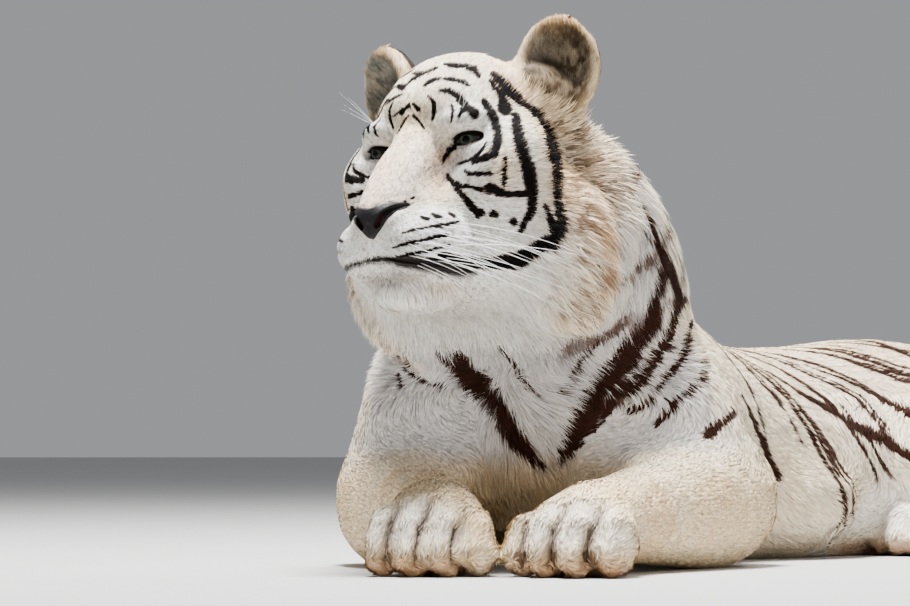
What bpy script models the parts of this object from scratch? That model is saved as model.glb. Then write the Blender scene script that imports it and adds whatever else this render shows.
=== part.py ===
"""White tiger lying on its chest with its head up, as a life-size museum model.

The body is blocked out from rounded masses and lofted limbs, fused by voxel remeshing in three
passes (trunk with wide blends, then skull and cheeks, then face, paws and tail with tight
ones), pressed flat where it meets the floor, and parted into named nodes with thin knives.

Working frame, in metres: +Z up with the floor at 0, the chest faces -Y, the animal's left is
+X, and the hindquarters curve away to its left. At the end everything is shifted together, so
that the origin is the bottom centre of the bounding box.
"""

import math

import bmesh
import bpy
import numpy as np
from mathutils import Matrix, Vector

# ---------------------------------------------------------------- driving dimensions
HEAD_YAW = math.radians(-23)  # the head turns to the animal's right
HEAD_ROLL = math.radians(-5.5)  # and its left side is a little higher
EYES = Vector((-0.108, -0.250, 0.487))  # the point midway between the eyes
EYE_RADIUS = 0.0175
EYE_SEAT = (0.0580, -0.0165, 0.000)  # left, forward and up from the point between the eyes
EAR_SEAT = (0.1145, -0.130, 0.084)
FORE_PAW_WIDTH = 0.142
HIND_PAW_WIDTH = 0.122
TAIL_RADIUS = 0.038

KNIFE = 0.0002  # each side of a cut draws back by this much
MASS_VOXEL = 0.013  # remeshing step of the trunk and limbs
HEAD_VOXEL = 0.008  # remeshing step of skull, cheeks and ruff
DETAIL_VOXEL = 0.0045  # remeshing step of the whole body
BODY_TRIANGLES = 1850  # kept over trunk and limbs before the cuts
HEAD_TRIANGLES = 1350  # kept over the head before the cuts
HEAD_MIDDLE = (0.0, -0.060, -0.030)  # left, forward and up from the point between the eyes
HEAD_REACH = 0.205

RING = 28  # points around a lofted section
STEPS = 6  # rings between two stations of a loft

HEAD_TURN = Matrix.Rotation(HEAD_YAW, 4, "Z") @ Matrix.Rotation(HEAD_ROLL, 4, "Y")
HEAD_FRAME = Matrix.Translation(EYES) @ HEAD_TURN

# ---------------------------------------------------------------- places of the limbs
SHOULDERS = (Vector((0.124, 0.000, 0.235)), Vector((-0.136, -0.010, 0.230)))
ELBOWS = (Vector((0.214, 0.045, 0.078)), Vector((-0.196, 0.005, 0.078)))
WRISTS = (Vector((0.114, -0.245, 0.062)), Vector((-0.090, -0.235, 0.062)))
FORE_HEADINGS = (math.radians(-16), math.radians(6))
THUMB_SIDES = (-1, 1)

HIPS = Vector((0.385, 0.800, 0.0))
HINDWARD = Vector((0.560, 0.828, 0.0))
LEFTWARD = Vector((0.828, -0.560, 0.0))

SPINE = [
    (-0.008, -0.070, 0.190, 0.120, 0.130),
    (0.000, 0.020, 0.200, 0.165, 0.180),
    (0.020, 0.140, 0.178, 0.190, 0.186),
    (0.070, 0.300, 0.140, 0.203, 0.162),
    (0.145, 0.450, 0.118, 0.210, 0.158),
    (0.240, 0.600, 0.112, 0.203, 0.166),
    (0.345, 0.740, 0.120, 0.186, 0.172),
    (0.440, 0.865, 0.120, 0.150, 0.150),
    (0.500, 0.935, 0.110, 0.092, 0.105),
]

NECK = [
    (0.005, 0.060, 0.210, 0.165, 0.165),
    (0.012, 0.010, 0.295, 0.164, 0.150),
    (0.012, -0.040, 0.365, 0.158, 0.138),
    (-0.008, -0.082, 0.425, 0.138, 0.122),
    (-0.040, -0.112, 0.478, 0.110, 0.098),
]

TAIL = [
    (0.480, 0.915, 0.135, 0.055, 0.052),
    (0.545, 1.000, 0.082, 0.045, 0.045),
    (0.620, 1.065, 0.042, TAIL_RADIUS, TAIL_RADIUS),
    (0.720, 1.095, 0.035, 0.036, 0.036),
    (0.825, 1.060, 0.034, 0.035, 0.035),
    (0.900, 0.970, 0.033, 0.034, 0.034),
    (0.928, 0.860, 0.032, 0.033, 0.033),
    (0.905, 0.750, 0.030, 0.031, 0.031),
    (0.855, 0.665, 0.026, 0.026, 0.026),
]

# ---------------------------------------------------------------- masses, as (place, half sizes)
BRISKET = ((-0.005, -0.050, 0.190), (0.155, 0.105, 0.150))
WITHERS = ((0.015, 0.125, 0.312), (0.100, 0.150, 0.058))
BELLY = ((0.150, 0.430, 0.080), (0.215, 0.240, 0.095))
THROAT = ((-0.045, -0.105, 0.325), (0.125, 0.085, 0.115))
NECK_SIDE = (1, -0.3, 0)

# places on the head are (left, forward, up) from the point between the eyes
SKULL = [
    ((0, -0.098, 0.020), (0.098, 0.114, 0.097)),  # cranium
    ((0, -0.036, 0.034), (0.074, 0.056, 0.054)),  # forehead
    ((0, 0.014, -0.095), (0.062, 0.086, 0.060)),  # root of the muzzle
    ((0, -0.065, -0.118), (0.094, 0.094, 0.080)),  # throat
    ((0, -0.150, -0.065), (0.118, 0.084, 0.108)),  # nape
]
CHEEK = ((0.074, -0.064, -0.044), (0.060, 0.082, 0.078))
RUFF = ((0.099, -0.104, -0.128), (0.074, 0.066, 0.102))
RUFF_SPLAY = math.radians(-4)
EAR_ROOT = ((0.086, -0.128, 0.040), (0.048, 0.052, 0.060))
BRIDGE = [
    (0, -0.032, 0.022, 0.044, 0.034),
    (0, 0.008, -0.014, 0.037, 0.035),
    (0, 0.054, -0.053, 0.033, 0.035),
    (0, 0.088, -0.084, 0.031, 0.029),
]
MUZZLE = [
    ((0, 0.056, -0.108), (0.052, 0.062, 0.046)),  # muzzle
    ((0, 0.099, -0.090), (0.033, 0.024, 0.020)),  # nose
    ((0, 0.098, -0.104), (0.014, 0.023, 0.020)),  # under the nose
    ((0, 0.058, -0.164), (0.040, 0.040, 0.032)),  # chin
    ((0, 0.010, -0.152), (0.056, 0.070, 0.040)),  # lower jaw
]
WHISKER_PADS = [((0.031, 0.074, -0.122), (0.034, 0.043, 0.036)), ((0.046, 0.042, -0.116), (0.034, 0.052, 0.038))]
BROW = ((0.050, -0.024, 0.022), (0.036, 0.036, 0.022))
BROW_SPLAY = math.radians(12)
CHEEKBONE = ((0.062, -0.030, -0.038), (0.042, 0.044, 0.030))
CHEEKBONE_SPLAY = math.radians(14)

EAR_SIZE = (0.050, 0.029, 0.062)
EAR_HOLLOW = ((0, -0.023, 0.004), (0.038, 0.029, 0.049))
EAR_OUT = math.radians(26)
EAR_LEAN = math.radians(10)
EAR_NOD = math.radians(6)
LID_OPENING = (0.023, 0.026, 0.0105)
LID_SLANT = math.radians(-12)

# ---------------------------------------------------------------- limbs, as (share of the way, half width, half height)
SHOULDER_TOP = Vector((0, 0.03, 0.03))
SHOULDER_SIZE = (0.062, 0.085)
UPPER_ARM = ((0.35, 0.068, 0.092), (0.75, 0.064, 0.082), (1, 0.060, 0.070))
ELBOW_BACK = Vector((0, 0.015, 0.005))
ELBOW_SIZE = (0.066, 0.080)
FOREARM = ((0.2, 0.071, 0.081), (0.5, 0.063, 0.070), (0.8, 0.055, 0.058), (1, 0.053, 0.053))

# places on the hind legs are (left, ahead, up) from the hips' middle
HIP = (0.085, 0.000, 0.150)
KNEE = (0.170, 0.235, 0.100)
HOCK = (0.185, -0.105, 0.048)
ANKLE = (0.205, 0.150, 0.038)
HIND_PAW_SPLAY = math.radians(8)
THIGH = ((0, 0.085, 0.120), (0.5, 0.088, 0.130), (0.85, 0.070, 0.100), (1, 0.050, 0.070))
SHANK = ((0, 0.050, 0.060), (0.4, 0.058, 0.060), (1, 0.036, 0.042))
HEEL_DROP = Vector((0, 0, 0.005))
HEEL_SIZE = (0.032, 0.036)
FOOT = ((0.5, 0.034, 0.034), (1, 0.042, 0.036))

# ---------------------------------------------------------------- paws, at a width of PAW_UNIT
PAW_UNIT = 0.150
PAW_BACK = ((0, 0, 0.049, 0.048), (0.050, 0, 0.058, 0.048), (0.100, 0.006, 0.063, 0.042))  # ahead, down, half sizes
TOES = ((-0.24, -0.0510, 0.110), (-0.08, -0.0175, 0.130), (0.08, 0.0175, 0.130), (0.24, 0.0510, 0.110))
KNUCKLE_HEIGHT = 0.044
KNUCKLE_SIZE = (0.0240, 0.046, 0.038)
TOE_REACH = 0.028
TOE_SPREAD = 0.020
TOE_HEIGHT = 0.028
TOE_SIZE = (0.0215, 0.027, 0.030)
PAD_AHEAD = 0.080
PAD_HEIGHT = 0.014
PAD_SIZE = (0.054, 0.060, 0.018)
THUMB_AHEAD = 0.030
THUMB_ASIDE = 0.054
THUMB_HEIGHT = 0.036
THUMB_SIZE = (0.017, 0.027, 0.024)

# ---------------------------------------------------------------- knives, as boxes between two corners
FLOOR_FIRST = -0.003  # the floor's level for the first cut, before the thinning
FAR = 2.0  # half width of the block below the floor
EAR_KNIFE = ((-0.080, -0.065, -0.036), (0.080, 0.060, 0.110))
EAR_KNIFE_LEAN = math.radians(30)
NAPE_PLACE = (0, 0.205, 0.05)
NAPE_SLOPE = math.radians(-14.7)
HEAD_KNIFE = ((-0.5, -0.6, -0.292), (0.5, 0, 0.4))
JAW_KNIFE = ((-0.058, -0.3, -0.35), (0.058, 0.020, -0.153))
NOSE_KNIFE = ((-0.034, -0.3, -0.117), (0.034, -0.094, -0.068))
LEG_TOP = 0.215
FORELEG_BACK = -0.2  # where the forelegs' knives begin, ahead of the paws
FORELEG_CUTS = (  # name, start and stop of the cut over the floor, and its span aside
    ("left", (0.005, -0.36), (0.150, 0.160), (0, 0.4)),
    ("right", (-0.003, -0.36), (-0.148, 0.120), (-0.4, 0)),
)
FOREPAW_KNIFE = ((-0.2, 0.012, -0.1), (0.2, 0.4, 0.2))
HINDLEG_CUTS = (("left", (-0.33, -0.115)), ("right", (0.115, 0.33)))
HINDLEG_AHEAD = (-0.215, 0.40)
HINDPAW_AHEAD = (0.170, 0.5)
HINDPAW_TOP = 0.082
TAIL_END_KNIFE = ((0.76, 0.5, -0.1), (1.2, 1.4, 0.3))
TAIL_ROOT_KNIFE = ((-0.5, 0.232, -0.1), (0.5, 0.8, 0.4))
NECK_PLACE = (0, 0.10, 0.400)
NECK_SLOPE = math.radians(31.6)
NECK_KNIFE = ((-0.4, -0.48, 0), (0.4, 0.3, 0.5))
WAIST = (0.11, 0.37)
WAIST_HEADING = (0.46, 0.89)
REAR_KNIFE = ((-0.6, 0, -0.1), (0.6, 1.0, 0.6))
KNIFE_BELOW = -0.1  # how far under the floor the limbs' knives reach

# ---------------------------------------------------------------- smoothing and finishes
MASS_ROUNDS, HEAD_ROUNDS, DETAIL_ROUNDS = 6, 14, 4
COAT = ("white_coat", (0.86, 0.84, 0.79), 0.85)
FINISHES = {
    "eye": ("iris_glass", (0.30, 0.34, 0.30), 0.12),
    "nose": ("nose_leather", (0.16, 0.12, 0.13), 0.50),
    "ear": ("ear_fur", (0.62, 0.56, 0.48), 0.90),
    "tail": ("tail_coat", (0.80, 0.77, 0.71), 0.85),
    "forepaw": ("paw_coat", (0.88, 0.83, 0.74), 0.85),
    "hindpaw": ("paw_coat", (0.88, 0.83, 0.74), 0.85),
}

MODEL = "white_tiger"
HELPERS = "cutters"


# ---------------------------------------------------------------- scene and materials
def clear_scene():
    for old in list(bpy.data.objects):
        bpy.data.objects.remove(old)


def collection(name):
    made = bpy.data.collections.new(name)
    bpy.context.scene.collection.children.link(made)
    return made


def finish(name, colour, roughness):
    made = bpy.data.materials.new(name)
    made.use_nodes = True
    shader = made.node_tree.nodes["Principled BSDF"]
    shader.inputs["Base Color"].default_value = (*colour, 1)
    shader.inputs["Roughness"].default_value = roughness
    shader.inputs["Metallic"].default_value = 0.0
    return made


def new_object(name, mesh, group):
    made = bpy.data.objects.new(name, mesh)
    group.objects.link(made)
    return made


def baked(obj, name, group):
    """A plain mesh object holding obj as its modifiers leave it; obj is removed."""
    graph = bpy.context.evaluated_depsgraph_get()
    mesh = bpy.data.meshes.new_from_object(obj.evaluated_get(graph))
    mesh.transform(obj.matrix_world)
    bpy.data.objects.remove(obj)
    return new_object(name, mesh, group)


# ---------------------------------------------------------------- masses and lofts
def head_place(left, forward, up):
    return HEAD_FRAME @ Vector((left, -forward, up))


def mass(group, centre, radii, turn=None, fineness=1):
    """An ellipsoid with its half sizes along its own X, Y and Z, turned by a matrix."""
    shape = bmesh.new()
    around, along = 32 // fineness, 20 // fineness
    bmesh.ops.create_uvsphere(shape, u_segments=around, v_segments=along, radius=1.0)
    size = Matrix.Diagonal((*radii, 1.0))
    bmesh.ops.transform(shape, matrix=(turn or Matrix()) @ size, verts=shape.verts)
    bmesh.ops.translate(shape, vec=centre, verts=shape.verts)
    mesh = bpy.data.meshes.new("mass")
    shape.to_mesh(mesh)
    shape.free()
    return new_object("mass", mesh, group)


def head_mass(group, place, radii, nod=0.0, splay=0.0):
    """A mass of the head, placed and sized as (left, forward, up).

    nod turns it about the left axis and splay about the forward one.
    """
    turn = HEAD_TURN @ Matrix.Rotation(splay, 4, "Y") @ Matrix.Rotation(nod, 4, "X")
    return mass(group, head_place(*place), radii, turn)


def head_pair(group, place, radii, nod=0.0, splay=0.0):
    """A head mass and its mirror image on the other side."""
    left, forward, up = place
    near = head_mass(group, place, radii, nod, splay)
    far = head_mass(group, (-left, forward, up), radii, nod, -splay)
    return [near, far]


def smooth_path(stations):
    """Stations resampled along a Catmull-Rom curve, so that the loft has no corners."""
    rows = np.array(stations, float)
    ends = np.vstack([2 * rows[0] - rows[1], rows, 2 * rows[-1] - rows[-2]])
    found = []
    for a, b, c, d in zip(ends, ends[1:], ends[2:], ends[3:]):
        for t in np.arange(STEPS) / STEPS:
            linear = (c - a) * t
            square = (2 * a - 5 * b + 4 * c - d) * t**2
            cube = (3 * b - a - 3 * c + d) * t**3
            found.append(b + (linear + square + cube) / 2)
    found.append(rows[-1])
    return np.array(found)


def loft(group, stations, side=None):
    """A closed limb through stations of (x, y, z, half width, half height).

    Each section is an ellipse square to the path. Its width lies along side, or along the
    horizontal where no side is given, and both ends are rounded off.
    """
    path = smooth_path(stations)
    centres, sizes = path[:, :3], path[:, 3:]
    tangents = np.gradient(centres, axis=0)
    tangents /= np.linalg.norm(tangents, axis=1)[:, None]
    rings = list(zip(centres, tangents, sizes))
    for a in np.radians([30, 60, 85]):
        start = centres[0] - tangents[0] * sizes[0].min() * math.sin(a)
        stop = centres[-1] + tangents[-1] * sizes[-1].min() * math.sin(a)
        rings.insert(0, (start, tangents[0], sizes[0] * math.cos(a)))
        rings.append((stop, tangents[-1], sizes[-1] * math.cos(a)))
    shape = bmesh.new()
    angles = np.arange(RING) * 2 * math.pi / RING
    loops = []
    for centre, tangent, (wide, high) in rings:
        along = np.array(side, float) if side else np.cross(tangent, (0, 0, 1))
        along -= tangent * along.dot(tangent)
        along /= np.linalg.norm(along)
        rise = np.cross(along, tangent)
        points = [centre + along * wide * math.cos(a) + rise * high * math.sin(a) for a in angles]
        loops.append([shape.verts.new(point) for point in points])
    for one, two in zip(loops, loops[1:]):
        for k in range(RING):
            n = (k + 1) % RING
            shape.faces.new((one[k], one[n], two[n], two[k]))
    shape.faces.new(loops[0][::-1])
    shape.faces.new(loops[-1])
    bmesh.ops.recalc_face_normals(shape, faces=shape.faces)
    mesh = bpy.data.meshes.new("loft")
    shape.to_mesh(mesh)
    shape.free()
    return new_object("loft", mesh, group)


def fused(name, pieces, group, voxel, smoothing):
    """The pieces joined, remeshed into one skin of that voxel size and smoothed."""
    shape = bmesh.new()
    for piece in pieces:
        shape.from_mesh(piece.data)
        bpy.data.objects.remove(piece)
    mesh = bpy.data.meshes.new(name)
    shape.to_mesh(mesh)
    shape.free()
    obj = new_object(name, mesh, group)
    remesh = obj.modifiers.new("remesh", "REMESH")
    remesh.mode = "VOXEL"
    remesh.voxel_size = voxel
    smooth = obj.modifiers.new("smooth", "SMOOTH")
    smooth.factor = 0.5
    smooth.iterations = smoothing
    return baked(obj, name, group)


# ---------------------------------------------------------------- trunk and limbs
def trunk_masses(group):
    """Chest, ribs, loin and rump along the curved spine, with withers, brisket and belly."""
    spine = loft(group, SPINE)
    return [spine, *(mass(group, *each) for each in (BRISKET, WITHERS, BELLY))]


def neck_masses(group):
    return [loft(group, NECK, side=NECK_SIDE), mass(group, *THROAT)]


def stations_between(start, stop, sections):
    """Stations of a loft at shares of the way from start to stop."""
    return [(*start.lerp(stop, share), width, height) for share, width, height in sections]


def foreleg_masses(group, shoulder, elbow, wrist):
    """Shoulder, upper arm, elbow and forearm down to the wrist."""
    upper = [(*(shoulder + SHOULDER_TOP), *SHOULDER_SIZE), *stations_between(shoulder, elbow, UPPER_ARM)]
    forearm = [(*(elbow + ELBOW_BACK), *ELBOW_SIZE), *stations_between(elbow, wrist, FOREARM)]
    return [loft(group, upper, side=(1, 0, 0)), loft(group, forearm)]


def hip_place(place, side):
    """A place on the hind leg of that side, +1 for the left one and -1 for the right one."""
    left, ahead, up = place
    return HIPS + LEFTWARD * left * side - HINDWARD * ahead + Vector((0, 0, up))


def hindleg_masses(group, side):
    """Thigh, folded shank and the long foot, which lies on the floor beside the belly."""
    hip, knee, hock, ankle = (hip_place(place, side) for place in (HIP, KNEE, HOCK, ANKLE))
    thigh = stations_between(hip, knee, THIGH)
    shank = stations_between(knee, hock, SHANK)
    foot = [(*(hock - HEEL_DROP), *HEEL_SIZE), *stations_between(hock, ankle, FOOT)]
    return [loft(group, thigh), loft(group, shank), loft(group, foot)]


def paw_masses(group, wrist, heading, width, thumb_side):
    """A paw lying flat: a broad back, four toes fanned out, pads below and the inner thumb.

    heading is the paw's direction in the floor plane, and thumb_side is +1 or -1 for the
    side on which the thumb sits, or 0 where there is none.
    """
    ahead = Vector((math.sin(heading), -math.cos(heading), 0))
    aside = Vector((math.cos(heading), math.sin(heading), 0))
    k = width / PAW_UNIT
    back = []
    for far, down, half_width, half_height in PAW_BACK:
        back.append((*(wrist + ahead * far * k - Vector((0, 0, down))), half_width * k, half_height * k))
    pieces = [loft(group, back)]
    for angle, off, far in TOES:
        toe = Matrix.Rotation(heading + angle, 4, "Z")
        base = wrist + ahead * far * k + aside * off * k
        knuckle = Vector((base.x, base.y, KNUCKLE_HEIGHT * k))
        tip = knuckle + ahead * TOE_REACH * k + aside * math.sin(angle) * TOE_SPREAD * k
        tip.z = TOE_HEIGHT * k
        pieces.append(mass(group, knuckle, [size * k for size in KNUCKLE_SIZE], toe))
        pieces.append(mass(group, tip, [size * k for size in TOE_SIZE], toe))
    pad = wrist + ahead * PAD_AHEAD * k
    pieces.append(mass(group, (pad.x, pad.y, PAD_HEIGHT * k), [size * k for size in PAD_SIZE]))
    if thumb_side:
        thumb = wrist + ahead * THUMB_AHEAD * k + aside * thumb_side * THUMB_ASIDE * k
        pieces.append(mass(group, (thumb.x, thumb.y, THUMB_HEIGHT), THUMB_SIZE))
    return pieces


# ---------------------------------------------------------------- head
def skull_masses(group):
    """Cranium, forehead, cheeks, throat and the ruff that hangs from the cheeks."""
    pieces = [head_mass(group, *each) for each in SKULL]
    pieces += head_pair(group, *CHEEK)
    pieces += head_pair(group, *RUFF, splay=RUFF_SPLAY)
    pieces += head_pair(group, *EAR_ROOT)
    return pieces


def face_masses(group):
    """Bridge, brows, muzzle with its two whisker pads, and the lower jaw."""
    level = HEAD_TURN @ Vector((1, 0, 0))
    places = [(*head_place(*place), wide, high) for *place, wide, high in BRIDGE]
    pieces = [loft(group, places, side=tuple(level))]
    pieces += [head_mass(group, *each) for each in MUZZLE]
    for pad in WHISKER_PADS:
        pieces += head_pair(group, *pad)
    pieces += head_pair(group, *BROW, splay=BROW_SPLAY)
    pieces += head_pair(group, *CHEEKBONE, splay=CHEEKBONE_SPLAY)
    return pieces


def ear_turn(side):
    out = Matrix.Rotation(EAR_OUT * side, 4, "Z")
    lean = Matrix.Rotation(EAR_LEAN * side, 4, "Y")
    return HEAD_TURN @ out @ lean @ Matrix.Rotation(EAR_NOD, 4, "X")


def ear_masses(group, side):
    """A rounded cup, open forwards and outwards, with a thick rim."""
    turn = ear_turn(side)
    left, forward, up = EAR_SEAT
    seat = head_place(left * side, forward, up)
    outer = mass(group, seat, EAR_SIZE, turn)
    place, sizes = EAR_HOLLOW
    hollow = mass(group, seat + turn @ Vector(place), sizes, turn)
    cut(outer, hollow, "DIFFERENCE")
    return [baked(outer, "ear", group)]


def cut(obj, tool, operation):
    """Adds a Boolean of tool to obj, and hides tool as a helper."""
    step = obj.modifiers.new(operation.lower(), "BOOLEAN")
    step.operation = operation
    step.object = tool
    tool.hide_render = True
    tool.display_type = "WIRE"
    return obj


# ---------------------------------------------------------------- parting into nodes
def block(group, frame, low, high, grow=0.0):
    """A box between two corners of the frame given, grown by so much on every side."""
    shape = bmesh.new()
    bmesh.ops.create_cube(shape, size=1.0)
    low, high = Vector(low), Vector(high)
    extent = high - low + Vector((2 * grow,) * 3)
    bmesh.ops.scale(shape, vec=extent, verts=shape.verts)
    bmesh.ops.translate(shape, vec=(low + high) / 2, verts=shape.verts)
    bmesh.ops.transform(shape, matrix=frame, verts=shape.verts)
    mesh = bpy.data.meshes.new("knife")
    shape.to_mesh(mesh)
    shape.free()
    return new_object("knife", mesh, group)


def largest_island(obj):
    """Drops every crumb that a cut left loose, and merges doubled points."""
    shape = bmesh.new()
    shape.from_mesh(obj.data)
    bmesh.ops.remove_doubles(shape, verts=shape.verts, dist=0.00005)
    islands, seen = [], set()
    for start in shape.verts:
        if start in seen:
            continue
        island, front = [], [start]
        seen.add(start)
        while front:
            vert = front.pop()
            island.append(vert)
            for edge in vert.link_edges:
                other = edge.other_vert(vert)
                if other not in seen:
                    seen.add(other)
                    front.append(other)
        islands.append(island)
    islands.sort(key=len)
    for crumb in islands[:-1]:
        bmesh.ops.delete(shape, geom=crumb, context="VERTS")
    shape.to_mesh(obj.data)
    shape.free()
    return obj


def parted(source, name, group, frame, low, high):
    """Cuts what lies in the block off the source, as (node of that name, rest of the source)."""
    rest_name = source.name
    node = source.copy()
    node.data = source.data.copy()
    group.objects.link(node)
    cut(node, block(group, frame, low, high, -KNIFE), "INTERSECT")
    cut(source, block(group, frame, low, high, KNIFE), "DIFFERENCE")
    rest = largest_island(baked(source, rest_name, group))
    rest.name = rest_name
    return largest_island(baked(node, name, group)), rest


def upright(place, heading):
    """A frame standing on the floor at the place, whose own +Y points along the heading."""
    turn = math.atan2(-heading[0], heading[1])
    return Matrix.Translation((place[0], place[1], 0)) @ Matrix.Rotation(turn, 4, "Z")


def thinned(whole, group, chosen, kept):
    """The whole with only so many triangles kept among the chosen vertices."""
    zone = whole.vertex_groups.new(name="zone")
    zone.add([vert.index for vert in chosen], 1.0, "REPLACE")
    picked = {vert.index for vert in chosen}
    count = sum(
        len(face.vertices) - 2
        for face in whole.data.polygons
        if all(index in picked for index in face.vertices)
    )
    total = sum(len(face.vertices) - 2 for face in whole.data.polygons)
    fewer = whole.modifiers.new("fewer", "DECIMATE")
    fewer.ratio = (total - count + kept) / total
    fewer.vertex_group = "zone"
    fewer.vertex_group_factor = 1.0
    made = baked(whole, "whole", group)
    made.vertex_groups.clear()
    return made


def decimated(whole, group):
    """The whole with far fewer triangles, first over the body and then over the head."""
    centre = head_place(*HEAD_MIDDLE)
    near = {vert.index for vert in whole.data.vertices if (vert.co - centre).length < HEAD_REACH}
    body = [vert for vert in whole.data.vertices if vert.index not in near]
    whole = thinned(whole, group, body, BODY_TRIANGLES)
    head = [vert for vert in whole.data.vertices if (vert.co - centre).length < HEAD_REACH]
    return thinned(whole, group, head, HEAD_TRIANGLES)


def on_the_floor(whole, group, level):
    """Cuts away all that lies below the level."""
    cut(whole, block(group, Matrix(), (-FAR, -FAR, -FAR), (FAR, FAR, level)), "DIFFERENCE")
    return largest_island(baked(whole, "whole", group))


def part_head(whole, group):
    """Ears, head, jaw and nose, cut from the whole. Returns (nodes, rest)."""
    nodes = []
    for name, side in (("ear_left", 1), ("ear_right", -1)):
        left, forward, up = EAR_SEAT
        lean = Matrix.Rotation(EAR_KNIFE_LEAN * side, 4, "Y")
        frame = Matrix.Translation(head_place(left * side, forward, up)) @ ear_turn(side) @ lean
        ear, whole = parted(whole, name, group, frame, *EAR_KNIFE)
        nodes.append(ear)
    frame = HEAD_FRAME @ Matrix.Translation(NAPE_PLACE) @ Matrix.Rotation(NAPE_SLOPE, 4, "X")
    head, whole = parted(whole, "head", group, frame, *HEAD_KNIFE)
    jaw, head = parted(head, "jaw", group, HEAD_FRAME, *JAW_KNIFE)
    nose, head = parted(head, "nose", group, HEAD_FRAME, *NOSE_KNIFE)
    return [*nodes, jaw, nose, head], whole


def part_legs(whole, group):
    """Each leg and its paw. Returns (nodes, rest)."""
    nodes = []
    for (name, start, stop, span), wrist, heading in zip(FORELEG_CUTS, WRISTS, FORE_HEADINGS):
        run = Vector(stop) - Vector(start)
        low, high = (span[0], FORELEG_BACK, KNIFE_BELOW), (span[1], run.length, LEG_TOP)
        leg, whole = parted(whole, "foreleg_" + name, group, upright(start, run), low, high)
        frame = upright(wrist, (math.sin(heading), -math.cos(heading)))
        paw, leg = parted(leg, "forepaw_" + name, group, frame, *FOREPAW_KNIFE)
        nodes += [leg, paw]
    frame = upright(HIPS, -HINDWARD)
    for name, (inner, outer) in HINDLEG_CUTS:
        low, high = (inner, HINDLEG_AHEAD[0], KNIFE_BELOW), (outer, HINDLEG_AHEAD[1], LEG_TOP)
        leg, whole = parted(whole, "hindleg_" + name, group, frame, low, high)
        low, high = (inner, HINDPAW_AHEAD[0], KNIFE_BELOW), (outer, HINDPAW_AHEAD[1], HINDPAW_TOP)
        paw, leg = parted(leg, "hindpaw_" + name, group, frame, low, high)
        nodes += [leg, paw]
    return nodes, whole


def part_trunk(whole, group):
    """Tail in two lengths, neck, and the trunk in two lengths."""
    tail_end, whole = parted(whole, "tail_end", group, Matrix(), *TAIL_END_KNIFE)
    tail_root, whole = parted(whole, "tail_root", group, upright(HIPS, HINDWARD), *TAIL_ROOT_KNIFE)
    slope = Matrix.Translation(NECK_PLACE) @ Matrix.Rotation(NECK_SLOPE, 4, "X")
    neck, whole = parted(whole, "neck", group, slope, *NECK_KNIFE)
    rear, front = parted(whole, "trunk_rear", group, upright(WAIST, WAIST_HEADING), *REAR_KNIFE)
    front.name = "trunk_front"
    return [tail_end, tail_root, neck, rear, front]


def add_eyes(nodes, group):
    """Two eyeballs, and their sockets in the head. Returns the eyes and the head with sockets."""
    head = next(node for node in nodes if node.name == "head")
    others = [node for node in nodes if node is not head]
    left, forward, up = EYE_SEAT
    for name, side in (("eye_left", 1), ("eye_right", -1)):
        seat = head_place(left * side, forward, up)
        eye = mass(group, seat, (EYE_RADIUS,) * 3, HEAD_TURN, 2)
        eye.name = name
        socket = mass(group, seat, (EYE_RADIUS + 2 * KNIFE,) * 3, HEAD_TURN, 2)
        slant = HEAD_TURN @ Matrix.Rotation(LID_SLANT * side, 4, "Y")
        opening = mass(group, head_place(left * side, forward + LID_OPENING[1], up), LID_OPENING, slant, 2)
        cut(head, socket, "DIFFERENCE")
        cut(head, opening, "DIFFERENCE")
        others.append(eye)
    return [*others, largest_island(baked(head, "head", group))]


def finish_nodes(nodes, model, helpers):
    """Moves the whole model to its box's bottom centre, and gives each node its place and finish."""
    corners = np.array([vert.co for node in nodes for vert in node.data.vertices])
    low, high = corners.min(axis=0), corners.max(axis=0)
    shift = Vector((-(low[0] + high[0]) / 2, -(low[1] + high[1]) / 2, -low[2]))
    stand = bpy.data.objects.new("tiger_origin", None)
    model.objects.link(stand)
    for node in nodes:
        label, colour, roughness = FINISHES.get(node.name.split("_")[0], COAT)
        centre = sum((vert.co for vert in node.data.vertices), Vector()) / len(node.data.vertices)
        node.data.transform(Matrix.Translation(-centre))
        node.location = centre + shift
        node.parent = stand
        node.data.name = node.name
        node.data.materials.clear()
        node.data.materials.append(finish(label + "_" + node.name, colour, roughness))
        model.objects.link(node)
        helpers.objects.unlink(node)


def main():
    clear_scene()
    model = collection(MODEL)
    helpers = collection(HELPERS)
    body = trunk_masses(helpers) + neck_masses(helpers)
    for shoulder, elbow, wrist in zip(SHOULDERS, ELBOWS, WRISTS):
        body += foreleg_masses(helpers, shoulder, elbow, wrist)
    body += hindleg_masses(helpers, 1) + hindleg_masses(helpers, -1)
    masses = fused("masses", body, helpers, MASS_VOXEL, MASS_ROUNDS)
    masses = fused("masses", [masses, *skull_masses(helpers)], helpers, HEAD_VOXEL, HEAD_ROUNDS)
    detail = face_masses(helpers) + [loft(helpers, TAIL)]
    for wrist, heading, thumb in zip(WRISTS, FORE_HEADINGS, THUMB_SIDES):
        detail += paw_masses(helpers, wrist, heading, FORE_PAW_WIDTH, thumb)
    for side in (1, -1):
        heading = math.atan2(-HINDWARD.x, HINDWARD.y) + HIND_PAW_SPLAY * side
        detail += paw_masses(helpers, hip_place(ANKLE, side), heading, HIND_PAW_WIDTH, 0)
        detail += ear_masses(helpers, side)
    whole = fused("whole", [masses, *detail], helpers, DETAIL_VOXEL, DETAIL_ROUNDS)
    whole = on_the_floor(whole, helpers, FLOOR_FIRST)
    whole = decimated(whole, helpers)
    whole = on_the_floor(whole, helpers, 0.0)
    nodes, whole = part_head(whole, helpers)
    limbs, whole = part_legs(whole, helpers)
    nodes += limbs + part_trunk(whole, helpers)
    nodes = add_eyes(nodes, helpers)
    finish_nodes(nodes, model, helpers)


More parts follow.
